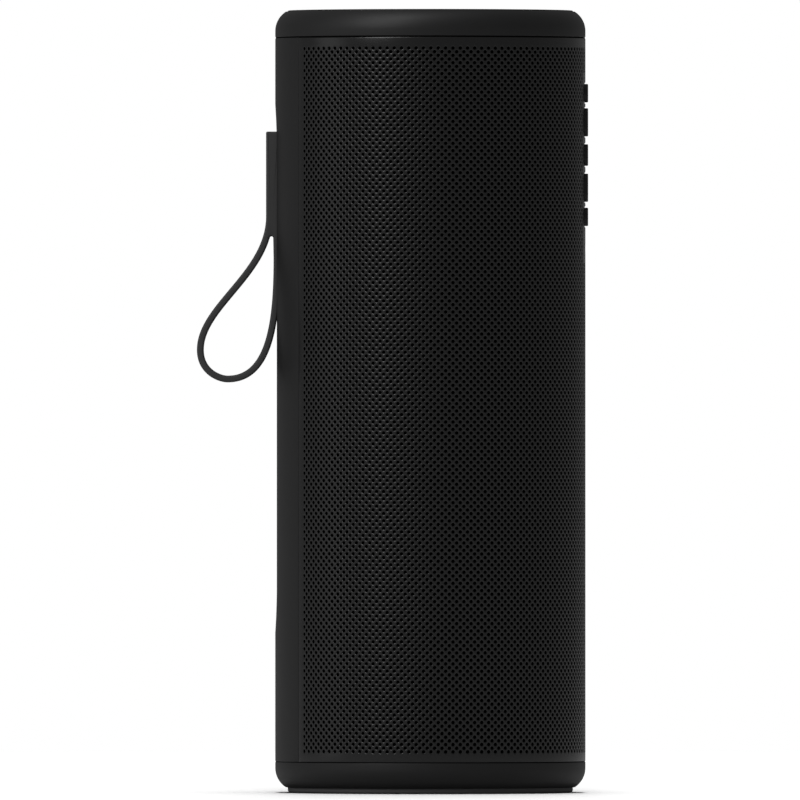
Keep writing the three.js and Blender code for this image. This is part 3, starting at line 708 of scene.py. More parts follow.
class Look(Enum):
    """Every finish on the speaker."""

    CAP = Moulding("satin_cap_plastic", (0.0125, 0.0125, 0.0128), 0.5, depth=0.006)
    PLATE = Moulding("satin_end_plate", (0.0115, 0.0115, 0.0118), 0.5, depth=0.006)
    SPINE = Moulding("satin_spine_plastic", (0.0115, 0.0115, 0.0119), 0.5, depth=0.007)
    PAINT = PaintedSkin("powder_painted_steel", (0.0075, 0.0075, 0.0077), 0.27, 36.5)
    SILICONE = Moulding("strap_silicone", (0.066, 0.066, 0.0665), 0.62, grain=0.3, depth=0.01, level=0.4)
    KEY = Moulding("key_rubber", (0.006, 0.006, 0.0062), 0.5, grain=0.2, depth=0.006)
    MARK = Moulding("key_mark_rubber", (0.16, 0.16, 0.162), 0.5, grain=0.2, depth=0.004)
    RUBBER = Moulding("soft_rubber", (0.012, 0.012, 0.0122), 0.75, grain=0.35, depth=0.02)
    FOOT = Moulding("foot_rubber", (0.14, 0.14, 0.141), 0.8, grain=0.35, depth=0.02)
    # Painted shadow: a near-black, barely reflecting finish for the rings that fill the caps' seams.
    SHADOW_GAP = Moulding("seam_painted_shadow", (0.0015, 0.0015, 0.0015), 0.9, grain=0.3, depth=0.01, level=0.05)
    SEAL = Moulding("seal_rubber", (0.02, 0.02, 0.021), 0.8, grain=0.3, depth=0.02)
    CABINET = Moulding("cabinet_plastic", (0.022, 0.022, 0.024), 0.6, grain=0.5, depth=0.03)
    PAPER = Moulding("cone_paper", (0.016, 0.016, 0.017), 0.85, grain=0.35, depth=0.05, cloudiness=0.3)
    SLEEVE = Moulding("cell_sleeve", (0.02, 0.1, 0.33), 0.32, grain=0.8, depth=0.01)
    CLOTH = Woven("acoustic_weave", (0.006, 0.006, 0.0062))
    STEEL = Metal("plated_steel", (0.42, 0.42, 0.43), 0.32)
    MAGNET = Metal("magnet_steel", (0.12, 0.12, 0.125), 0.45)
    BOARD = Printed("lacquered_board")
    LENS = Lens()


class Wardrobe:
    """Makes each finish's material once, and puts it on pieces."""

    def __init__(self) -> None:
        """Starts with no materials."""
        self.made: dict[Look, bpy.types.Material] = {}

    def dress(self, piece: bpy.types.Object, look: Look) -> None:
        """Gives the piece that finish in every material slot.

        Args:
            piece: The piece.
            look: Its finish.
        """
        if look not in self.made:
            self.made[look] = look.value.material()
        if not piece.data.materials:
            piece.data.materials.append(self.made[look])
        for k in range(len(piece.data.materials)):
            piece.data.materials[k] = self.made[look]

    def fit(self, piece: bpy.types.Object, look: Look, body: str, nodes: Sequence[str]) -> None:
        """Dresses a finished piece and ties it to the frame.

        Args:
            piece: The piece, in place.
            look: Its finish.
            body: The body that it moves with.
            nodes: The frame's nodes that it stands for.
        """
        self.dress(piece, look)
        if nodes:
            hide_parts(*nodes)
        if body:
            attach(piece, body)
        LOG.info("%s: %d faces, %s", piece.name, len(piece.data.polygons), self.made[look].name)


def extent(node: str) -> tuple[Array, Array]:
    """A node's lowest and highest corners in millimetres."""
    low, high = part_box(node)
    return np.array(low) / MM, np.array(high) / MM


def outline_of(node: str) -> tuple[float, float, float]:
    """A node's half width in Y, its half height, and the height of its middle, in millimetres."""
    low, high = extent(node)
    return float(high[1] - low[1]) / 2, float(high[2] - low[2]) / 2, float(high[2] + low[2]) / 2


# ---------- The body's size ----------
@dataclass
class Stature:
    """The sizes that the outer pieces share. Those of 0 are read from the frame."""

    radius: float = 0.0
    bottom: float = 0.0
    top: float = 0.0
    skin_low: float = 0.0
    skin_high: float = 0.0
    wall: float = 0.8
    gap: float = 0.3
    hem: float = 0.12
    port_height: float = 62.0

    def __post_init__(self) -> None:
        """Reads the caps' and the grille's boxes. The skin's lower edge is turned up by the hem."""
        self.radius = float(extent("grille")[1][1])
        self.bottom, self.top = float(extent("bottom_cap")[0][2]), float(extent("top_plate")[1][2])
        self.skin_low, self.skin_high = (float(corner[2]) for corner in extent("grille"))
        self.skin_low += self.hem

    @property
    def inner(self) -> float:
        """The grille's inner radius."""
        return self.radius - self.wall


# ---------- End caps ----------
@dataclass
class EndCaps:
    """Both caps, the plate on the upper one and the foot pad under the lower one."""

    stature: Stature
    corner: float = 5.42
    corner_centre: float = 31.08
    corner_drop: float = 4.83
    rim_drop: float = 0.28
    recess: float = 33.84
    recess_depth: float = 1.8
    floor: float = 1.6
    spigot: tuple[float, float, float] = (30.8, 32.4, 5.0)
    spigot_rounds: tuple[float, float, float] = (0.8, 0.2, 0.4)
    recess_rounds: tuple[float, float] = (0.06, 0.2)
    edge: float = 0.14
    plate: float = 33.54
    plate_margin: float = 0.3
    plate_rounds: tuple[float, float] = (0.15, 0.22)
    pad_round: float = 0.7
    groove_round: float = 0.15
    shadow_ring_inset: float = 0.12
    shadow_ring_slack: float = 0.02
    grooves: tuple[float, ...] = (22.0, 25.5, 29.0)
    groove: tuple[float, float, float] = (0.9, 0.5, 0.5)
    steps: int = 256
    arc_points: int = 25

    def cap_profile(self) -> Array:
        """The cap's section, as radius and way in from the end face.

        The corner is an arc about a point that lies outside the recess: radius is the centre's plus the
        corner's times the cosine, and depth is the centre's less the corner's times the sine.

        Returns:
            The section's points, from the middle of its underside round to the middle of the recess.
        """
        seam = self.stature.top - self.stature.skin_high - self.stature.gap
        end = asin((self.corner_drop - self.rim_drop) / self.corner)
        inner, outer, depth = self.spigot
        under, tip = self.recess_depth + self.floor, seam + depth
        fold, inside, outside = self.spigot_rounds
        lip, bed = self.recess_rounds
        turn = np.linspace(0, end, self.arc_points)
        arc = np.stack([self.corner_centre + self.corner * np.cos(turn),
                        self.corner_drop - self.corner * np.sin(turn)], axis=1)
        lower = filleted([(0, under, 0), (inner, under, fold), (inner, tip, inside), (outer, tip, outside),
                          (outer, seam, 0), (self.stature.radius, seam, self.edge), (*arc[0], 0)])
        rim = filleted([(*arc[-1], 0), (self.recess, self.rim_drop, lip),
                        (self.recess, self.recess_depth, bed), (0, self.recess_depth, 0)])
        return np.concatenate([lower, arc[1:], rim[1:]])

    def cap(self, name: str, face: float, way: int) -> bpy.types.Object:
        """Turns the cap's section.

        Args:
            name: The piece's name.
            face: The height of the end face.
            way: 1 where the cap reaches up from that face, -1 where it hangs down.

        Returns:
            The cap.
        """
        profile = self.cap_profile()
        profile[:, 1] = face + way * profile[:, 1]
        return shaped(name, lathed(profile, self.steps))

    def top_plate(self) -> bpy.types.Object:
        """A flat disc with soft edges.

        Returns:
            The plate.
        """
        low, high = (corner[2] for corner in extent("top_plate"))
        under, over = self.plate_rounds
        flat = self.plate - self.plate_margin
        side = filleted([(0, low, 0), (self.plate, low, under), (self.plate, high, over), (flat, high, 0)])
        face = np.linspace(1, 0, 9)[:, None] * [flat, 0] + [0, high]
        profile = np.concatenate([side, face[1:]])
        return shaped("top_end_plate", lathed(profile, self.steps), (0, 0, (low + high) / 2))

    def foot_pad(self) -> bpy.types.Object:
        """A rubber disc with a soft lower edge and round grooves under it.

        Returns:
            The pad.
        """
        low, high = (corner[2] for corner in extent("foot_pad"))
        corners = [(0, low, 0)]
        mouth, bed, deep = self.groove
        soft = self.groove_round
        for middle in self.grooves:
            corners += [(middle - mouth, low, soft), (middle - bed, low + deep, soft)]
            corners += [(middle + bed, low + deep, soft), (middle + mouth, low, soft)]
        corners += [(self.plate, low, self.pad_round), (self.plate, high, soft), (0, high, 0)]
        return shaped("rubber_foot_pad", lathed(filleted(corners), self.steps), (0, 0, (low + high) / 2))

    def shadow_ring(self, name: str, low: float, high: float) -> bpy.types.Object:
        """A flat, nearly black ring of painted shadow that fills a cap's seam, a little way in from the
        skin.

        Args:
            name: The piece's name.
            low: The height of the seam's lower side.
            high: The height of its upper side.

        Returns:
            The ring.
        """
        outer, inner = self.stature.radius - self.shadow_ring_inset, self.spigot[1] + self.stature.gap
        low, high = low + self.shadow_ring_slack, high - self.shadow_ring_slack
        profile = np.array([(inner, low), (outer, low), (outer, high), (inner, high)])
        return shaped(name, lathed(profile, self.steps), closed=True)

    def build(self, wardrobe: Wardrobe) -> None:
        """Makes and dresses the caps, the plate, the foot, and the rings of painted shadow in the seams.

        Args:
            wardrobe: The finishes.
        """
        size = self.stature
        lower_cap_top = size.skin_low - size.hem - size.gap
        solid = [(self.cap("upper_cap", size.top, -1), Look.CAP, "cap_plastic", "top_cap"),
                 (self.cap("lower_cap", size.bottom, 1), Look.CAP, "cap_plastic", "bottom_cap"),
                 (self.top_plate(), Look.PLATE, "cap_plastic", "top_plate"),
                 (self.foot_pad(), Look.FOOT, "soft_rubber", "foot_pad")]
        for piece, look, slot, node in solid:
            wardrobe.fit(piece, look, "speaker_body", [node])
        # Rings of painted shadow that fill the seams and keep them dark.
        rings = [self.shadow_ring("upper_seam_ring", size.skin_high, size.skin_high + size.gap),
                 self.shadow_ring("lower_seam_ring", lower_cap_top, size.skin_low)]
        for ring in rings:
            wardrobe.fit(ring, Look.SHADOW_GAP, "speaker_body", [])


# ---------- Grille ----------
@dataclass
class Cutout:
    """An opening in the grille for a key or the light: middle height, half sizes and corner."""

    height: float
    half_width: float
    half_height: float
    corner: float

    @property
    def sizes(self) -> tuple[float, float, float]:
        """The half width, the half height and the corner's radius."""
        return self.half_width, self.half_height, self.corner


@dataclass
class Grille:
    """The perforated steel skin, and the acoustic cloth stretched behind it.

    Holes stand on a lattice whose rows are shifted by half a pitch, one after the other. Each hole owns
    the diamond whose corners are halfway to its four neighbours, so the diamonds tile the skin.
    """

    stature: Stature
    cutouts: list[Cutout]
    first_angle: float = 35.73
    row_low: float = 9.94
    row_high: float = 174.82
    rows: int = 193
    holes: int = 107
    hole: float = 0.415
    rim: float = 0.56
    rim_depth: float = 0.07
    wedge: float = 31.97
    bands: int = 8
    window_half: int = 7
    panel_gap: float = 1.3
    edge: float = 0.16
    end_edge: float = 0.28
    turned_in: float = 1.2
    panel_rings: int = 7
    cloth_inset: float = 0.2
    cloth_cells: tuple[int, int] = (296, 340)
    cloth_margin: tuple[float, float] = (1.0, 0.9)

    def __post_init__(self) -> None:
        """Works out the lattice's steps and the window that is left for the keys."""
        self.columns = 2 * (self.holes - 1)
        self.angle_step = radians(360 - 2 * self.first_angle) / self.columns
        self.row_step = (self.row_high - self.row_low) / (self.rows - 1)
        lowest = min(c.height - c.half_height for c in self.cutouts) - self.panel_gap
        highest = max(c.height + c.half_height for c in self.cutouts) + self.panel_gap
        self.window_low = int(np.floor((lowest - self.row_low) / self.row_step))
        self.window_high = int(np.ceil((highest - self.row_low) / self.row_step))

    def angle(self, column: Array | float) -> Array | float:
        """The angle of a lattice column, counted from +X by way of +Y."""
        return pi + radians(self.first_angle) + column * self.angle_step

    def height(self, row: Array | float) -> Array | float:
        """The height of a lattice row."""
        return self.row_low + row * self.row_step

    def in_window(self, column: Array, row: Array, slack: float = 0.0) -> Array:
        """Whether places of the lattice lie in the window that is left for the keys."""
        beside = np.abs(column - self.columns / 2) < self.window_half + slack
        return beside & (row > self.window_low - slack) & (row < self.window_high + slack)

    def band(self, first: int, last: int, name: str) -> bpy.types.Object:
        """One band of perforated skin, with every hole's rolled rim and wall.

        A hole's cell has eight sectors. Each sector has three faces: from the diamond to the rim, from the
        rim down to the wall, and down the wall to the inside. A cell with no hole is a fan of triangles,
        of which those outside the lattice or in the window are left out.

        Args:
            first: The band's first row.
            last: The row that the band stops before.
            name: The piece's name.

        Returns:
            The band.
        """
        column, row = np.meshgrid(np.arange(-1, self.columns + 2), np.arange(first, last))
        column, row = column.ravel(), row.ravel()
        own = (column + row) % 2 == 0
        column, row = column[own], row[own]
        field = (column >= 0) & (column <= self.columns) & (row >= 0) & (row < self.rows)
        drilled = field & ~self.in_window(column, row, 0.5)
        step = np.array([[2, 0], [1, 1], [0, 2], [-1, 1], [-2, 0], [-1, -1], [0, -2], [1, -1]])
        middle = np.stack([2 * column, 2 * row], axis=1)
        around = middle[:, None, :] + step
        sides = len(step)
        follow = np.roll(np.arange(sides), -1)

        plain_middle = np.repeat(middle[~drilled][:, None], sides, axis=1)
        plain_first = around[~drilled]
        centroid = (plain_middle + plain_first + plain_first[:, follow]) / 6
        inside = (centroid[..., 0] > -1) & (centroid[..., 0] < self.columns + 1)
        inside &= (centroid[..., 1] > -1) & (centroid[..., 1] < self.rows)
        inside &= ~self.in_window(centroid[..., 0], centroid[..., 1])
        fans = np.stack([plain_middle, plain_first, plain_first[:, follow]], axis=2)[inside]
        webs = around[drilled]
        places = np.concatenate([fans.reshape(-1, 2), webs.reshape(-1, 2)])
        shared, which = np.unique(places, axis=0, return_inverse=True)
        fan_faces, outer = np.split(which.ravel(), [len(fans) * 3])

        turn = np.arange(sides) * 2 * pi / sides
        centre = middle[drilled] / 2
        points = [wrapped(self.angle(shared[:, 0] / 2), self.height(shared[:, 1] / 2), self.stature.radius)]
        rings = ((self.rim, 0.0), (self.hole, self.rim_depth), (self.hole, self.stature.wall))
        for radius, depth in rings:
            across = self.angle(centre[:, :1]) + radius * np.cos(turn) / self.stature.radius
            tall = self.height(centre[:, 1:]) + radius * np.sin(turn)
            points.append(wrapped(across, tall, self.stature.radius - depth).reshape(-1, 3))
        start = len(shared) + np.arange(len(centre) * sides).reshape(-1, sides)
        levels = [outer.reshape(-1, sides), *(start + k * start.size for k in range(len(rings)))]
        faces = [fan_faces.reshape(-1, 3)]
        for upper, lower in zip(levels, levels[1:]):
            quad = np.stack([upper, upper[:, follow], lower[:, follow], lower], axis=-1)
            faces.append(quad.reshape(-1, 4))
        surface = Surface()
        surface.take(np.concatenate(points), faces)
        return surface.make(name, sharp=60, weld=False)

    def border(self) -> bpy.types.Object:
        """The plain margin round the holes, rolled over at the skin's edges.

        Each point of the lattice's outline is carried straight out to the same share of the skin's own
        outline, and then over the edge and back along the inside.

        Returns:
            The margin.
        """
        low, high = np.array([-1.0, -1.0]), np.array([self.columns + 1.0, float(self.rows)])
        across, up = np.arange(low[0], high[0] + 1), np.arange(low[1], high[1] + 1)
        outline = np.concatenate([
            np.stack([across, 0 * across + low[1]], axis=1)[:-1],
            np.stack([0 * up + high[0], up], axis=1)[:-1],
            np.stack([across[::-1], 0 * across + high[1]], axis=1)[:-1],
            np.stack([0 * up + low[0], up[::-1]], axis=1)[:-1],
        ])
        share = (outline - low) / (high - low)
        radius = self.stature.radius
        rings = [wrapped(self.angle(outline[:, 0]), self.height(outline[:, 1]), radius)]
        wedge = radians(self.wedge)
        taller = self.end_edge / self.edge
        spans = [(inset, inset * taller, drop) for inset, drop in rounding(self.edge)][::-1]
        spans += [(inset, inset, self.stature.wall) for inset in (0.0, self.turned_in)]
        for beside, above, drop in spans:
            start, end = pi + wedge + beside / radius, 3 * pi - wedge - beside / radius
            bottom, top = self.stature.skin_low + above, self.stature.skin_high - above
            angle, tall = start + share[:, 0] * (end - start), bottom + share[:, 1] * (top - bottom)
            rings.append(wrapped(angle, tall, radius - drop))
        return shaped("grille_border", np.stack(rings), sharp=50)

    def panels(self) -> bpy.types.Object:
        """The plain strip round the keys and the light, in one panel for each opening.

        A panel is a set of rings between a rectangle and the opening's outline, mixed in equal steps, then
        over the opening's edge and straight in along X to the inside of the skin.

        Returns:
            The strip.
        """
        surface = Surface()
        ordered = sorted(self.cutouts, key=lambda c: c.height)
        between = [(a.height + a.half_height + b.height - b.half_height) / 2
                   for a, b in zip(ordered, ordered[1:])]
        bounds = [self.height(self.window_low), *between, self.height(self.window_high)]
        radius = self.stature.radius
        half_angle = self.window_half * self.angle_step
        for cutout, low, high in zip(ordered, bounds, bounds[1:]):
            line = frame_line(*cutout.sizes, grow=self.edge)
            square = frame_line(*cutout.sizes, crisp=True)
            corner = np.abs(square) / cutout.sizes[:2] * np.sign(square)
            room = np.where(corner[:, 1] < 0, cutout.height - low, high - cutout.height)
            outer = np.stack([corner[:, 0] * half_angle, cutout.height + room * corner[:, 1]], axis=1)
            opening = np.stack([np.arcsin(line[:, 0] / radius), cutout.height + line[:, 1]], axis=1)
            places = (outer * (1 - share) + opening * share for share in np.linspace(0, 1, self.panel_rings))
            rings = [wrapped(place[:, 0], place[:, 1], radius) for place in places]
            for inset, drop in rounding(self.edge)[::-1][1:]:
                rings.append(pressed(frame_line(*cutout.sizes, grow=inset), radius, drop, cutout.height))
            rings.append(pressed(frame_line(*cutout.sizes), self.stature.inner, 0.0, cutout.height))
            surface.grid(np.stack(rings), (0, 0, cutout.height))
        return surface.make("grille_key_panel", sharp=50)

    def cloth(self) -> bpy.types.Object:
        """The acoustic cloth: one sheet round the cabinet, cut out behind the keys, with a flat UV map.

        The sheet's angle and height are even steps. Cells whose middle lies behind the keys or the light
        are left out. The UV map holds the way round and the height, in metres.

        Returns:
            The cloth.
        """
        low, high = extent("acoustic_cloth")
        radius = float(high[1]) - self.cloth_inset
        around, up = self.cloth_cells
        angle = np.linspace(pi + radians(self.wedge), 3 * pi - radians(self.wedge), around + 1)
        tall = np.linspace(low[2], high[2], up + 1)
        points = wrapped(angle[None, :], tall[:, None], radius)
        rows, columns = points.shape[:2]
        first = np.arange(rows - 1)[:, None] * columns + np.arange(columns - 1)[None, :]
        middle_angle = (angle[:-1] + angle[1:])[None, :] / 2 - 2 * pi
        middle_height = (tall[:-1] + tall[1:])[:, None] / 2
        keep = np.ones(first.shape, bool)
        for cutout in self.cutouts:
            beside = np.abs(middle_angle) * radius < cutout.half_width + self.cloth_margin[0]
            level = np.abs(middle_height - cutout.height) < cutout.half_height + self.cloth_margin[1]
            keep &= ~(beside & level)
        corner = first[keep]
        faces = np.stack([corner, corner + 1, corner + columns + 1, corner + columns], axis=-1)
        surface = Surface()
        surface.take(points.reshape(-1, 3), [faces])
        piece = surface.make("acoustic_cloth_sheet", weld=False)
        mesh = piece.data
        flat = np.stack(np.broadcast_arrays(angle[None, :] * radius, tall[:, None]), axis=-1)
        flat = flat.reshape(-1, 2) * MM
        which = np.zeros(len(mesh.loops), np.int32)
        mesh.loops.foreach_get("vertex_index", which)
        mesh.uv_layers.new(name="cut").data.foreach_set("uv", flat[which].astype(np.float32).ravel())
        width, length = (angle[-1] - angle[0]) * radius * MM, (tall[-1] - tall[0]) * MM
        width * length * keep.mean()
        return piece

    def build(self, wardrobe: Wardrobe) -> None:
        """Makes and dresses the skin in bands, its margin, the strip round the keys, and the cloth.

        Args:
            wardrobe: The finishes.
        """
        marks = np.linspace(-1, self.rows + 1, self.bands + 1).round().astype(int)
        bands = enumerate(zip(marks, marks[1:]))
        pieces = [self.band(first, last, f"grille_band_{k}") for k, (first, last) in bands]
        for piece in [*pieces, self.border(), self.panels()]:
            wardrobe.fit(piece, Look.PAINT, "speaker_body", ["grille"])
        wardrobe.fit(self.cloth(), Look.CLOTH, "speaker_body", ["acoustic_cloth"])


# ---------- Spine ----------
@dataclass
class Spine:
    """The moulded strip down the back, with the groove that the strap and the flap lie in."""

    stature: Stature
    half_angle: float = 31.88
    skirt: float = 35.0
    keel_half: float = 8.0
    keel_back: float = 32.3
    keel_margin: float = 4.0
    keel_line: float = 8.0
    groove_half: float = 4.95
    groove_floor: float = 35.0
    groove_low: float = 37.9
    groove_high: float = 161.6
    groove_end: float = 10.6
    edge: float = 0.1
    end_edge: float = 0.28
    lip: float = 0.35
    port_half: tuple[float, float] = (4.77, 1.93)
    port_corner: float = 1.88
    port_depth: float = 1.4
    port_land: float = 4.0
    within: tuple[float, float, float] = (-34.0, 0.0, 92.0)
    port_within: float = -30.0
    face_rings: int = 14
    floor_rows: int = 40
    floor_columns: int = 9
    port_rings: int = 4
    side_points: int = 26
    end_points: tuple[int, int] = (14, 13)

    def ring(self, half: float, low: float, high: float, oval: float = 0.0) -> Array:
        """An outline round the groove's middle line, always with the same number of points.

        A ray at each angle from the centre of either end meets the rectangle at the smaller of width over
        cosine and height over sine. Where an oval height is given, the end is half an ellipse instead.

        Args:
            half: Half the outline's width.
            low: Its lower end.
            high: Its upper end.
            oval: The height of its half-elliptical ends, or 0 for square ones.

        Returns:
            The way across and the height, anticlockwise from the lower end of the left side.
        """
        middle_low, middle_high = self.groove_low + self.groove_end, self.groove_high - self.groove_end
        straight = np.linspace(middle_low, middle_high, self.side_points)[1:-1]

        def end(reach: float, room: float) -> Array:
            """Half the outline above a centre at the origin, with a point at the spine's corner.

            Args:
                reach: How far it goes up from the centre.
                room: How far above the centre the spine's own end is.

            Returns:
                Its points, anticlockwise.
            """
            corner = atan2(room, self.stature.radius * radians(self.half_angle))
            beside, over = self.end_points
            right, above = np.linspace(0, corner, beside), np.linspace(corner, pi - corner, over)
            turn = np.concatenate([right[:-1], above[:-1], np.linspace(pi - corner, pi, beside)])
            if oval:
                return np.stack([half * np.cos(turn), reach * np.sin(turn)], axis=1)
            with np.errstate(divide="ignore"):
                far = np.minimum(half / np.abs(np.cos(turn)), reach / np.abs(np.sin(turn)))
            return np.stack([far * np.cos(turn), far * np.sin(turn)], axis=1)

        lower = -end(oval or middle_low - low, middle_low - self.stature.skin_low) + [0, middle_low]
        upper = end(oval or high - middle_high, self.stature.skin_high - middle_high) + [0, middle_high]
        right = np.stack([0 * straight + half, straight], axis=1)
        left = np.stack([0 * straight - half, straight[::-1]], axis=1)
        return np.concatenate([lower, right, upper, left])

    def on_skin(self, line: Array, radius: float) -> Array:
        """Lays an outline of arc lengths round the back of a cylinder."""
        return wrapped(pi - line[:, 0] / self.stature.radius, line[:, 1], radius)

    def at_back(self, line: Array, radius: float, drop: float = 0.0) -> Array:
        """Lays an outline of widths on the back of a cylinder and moves it in along X."""
        return pressed(line, radius, drop) * [-1, 1, 1]

    def shell(self) -> Array:
        """The spine's rings: its back, its edges, its face and the wall of its groove.

        Returns:
            The grid, a row for each ring.
        """
        size, edge = self.stature, self.edge
        arc = size.radius * radians(self.half_angle)
        low, high = size.skin_low, size.skin_high
        keel = self.ring(self.keel_half, low + self.keel_margin, high - self.keel_margin)
        middle = keel * [0, 1]
        middle[:, 1] = np.clip(middle[:, 1], low + self.keel_line, high - self.keel_line)
        rings = [facing(middle, -self.keel_back), facing(keel, -self.keel_back),
                 self.at_back(keel, self.skirt), self.on_skin(self.ring(arc, low, high), self.skirt)]
        taller = self.end_edge / edge
        for inset, drop in rounding(edge):
            line = self.ring(arc - inset, low + inset * taller, high - inset * taller)
            rings.append(self.on_skin(line, size.radius - drop))
        face = self.ring(arc - edge, low + self.end_edge, high - self.end_edge)
        lip = self.ring(self.groove_half + self.lip, 0, 0, self.groove_end + self.lip)
        lip[:, 0] = size.radius * np.arcsin(lip[:, 0] / size.radius)
        for share in np.linspace(0, 1, self.face_rings + 1)[1:]:
            rings.append(self.on_skin(face * (1 - share) + lip * share, size.radius))
        for inset, drop in rounding(self.lip)[::-1][1:]:
            line = self.ring(self.groove_half + inset, 0, 0, self.groove_end + inset)
            rings.append(self.at_back(line, size.radius, drop))
        rings.append(facing(self.ring(self.groove_half, 0, 0, self.groove_end), -self.groove_floor))
        return np.stack(rings)

    def floor(self, low: float, high: float) -> Array:
        """A stretch of the groove's floor.

        The half width is the groove's own, times the root of one less the squared share of the oval end.

        Args:
            low: The stretch's lower end.
            high: Its upper end.

        Returns:
            The grid, a row for each height.
        """
        height = low + (high - low) * (1 - np.cos(np.linspace(0, pi, self.floor_rows))) / 2
        below = self.groove_low + self.groove_end - height
        above = height - self.groove_high + self.groove_end
        share = np.clip(np.maximum(below, above) / self.groove_end, 0, 1)
        half = self.groove_half * np.sqrt(1 - share**2)
        across = half[:, None] * np.linspace(-1, 1, self.floor_columns)
        return np.stack(np.broadcast_arrays(-self.groove_floor, across, height[:, None]), axis=-1)

    def port(self) -> Array:
        """The floor round the port and the port's wall.

        The rings are mixed in equal steps from a rectangle to a rounded slot, and then go in along X.

        Returns:
            The grid, a row for each ring.
        """
        height = self.stature.port_height
        slot = frame_line(*self.port_half, self.port_corner)
        land = frame_line(*self.port_half, self.port_corner, crisp=True) / self.port_half
        land *= [self.groove_half, self.port_land]
        shares = np.linspace(0, 1, self.port_rings)
        rings = [facing(land * (1 - share) + slot * share, -self.groove_floor, height) for share in shares]
        rings.append(facing(slot, self.port_depth - self.groove_floor, height))
        return np.stack(rings)

    def build(self, wardrobe: Wardrobe) -> None:
        """Makes the spine in one piece and dresses it.

        Args:
            wardrobe: The finishes.
        """
        port, land = self.stature.port_height, self.port_land
        surface = Surface()
        surface.grid(self.shell(), self.within)
        for low, high in ((self.groove_low, port - land), (port + land, self.groove_high)):
            surface.grid(self.floor(low, high), self.within, round_rows=False)
        surface.grid(self.port(), (self.port_within, 0.0, port))
        piece = surface.make("back_spine", sharp=40)
        wardrobe.fit(piece, Look.SPINE, "speaker_body", ["spine"])


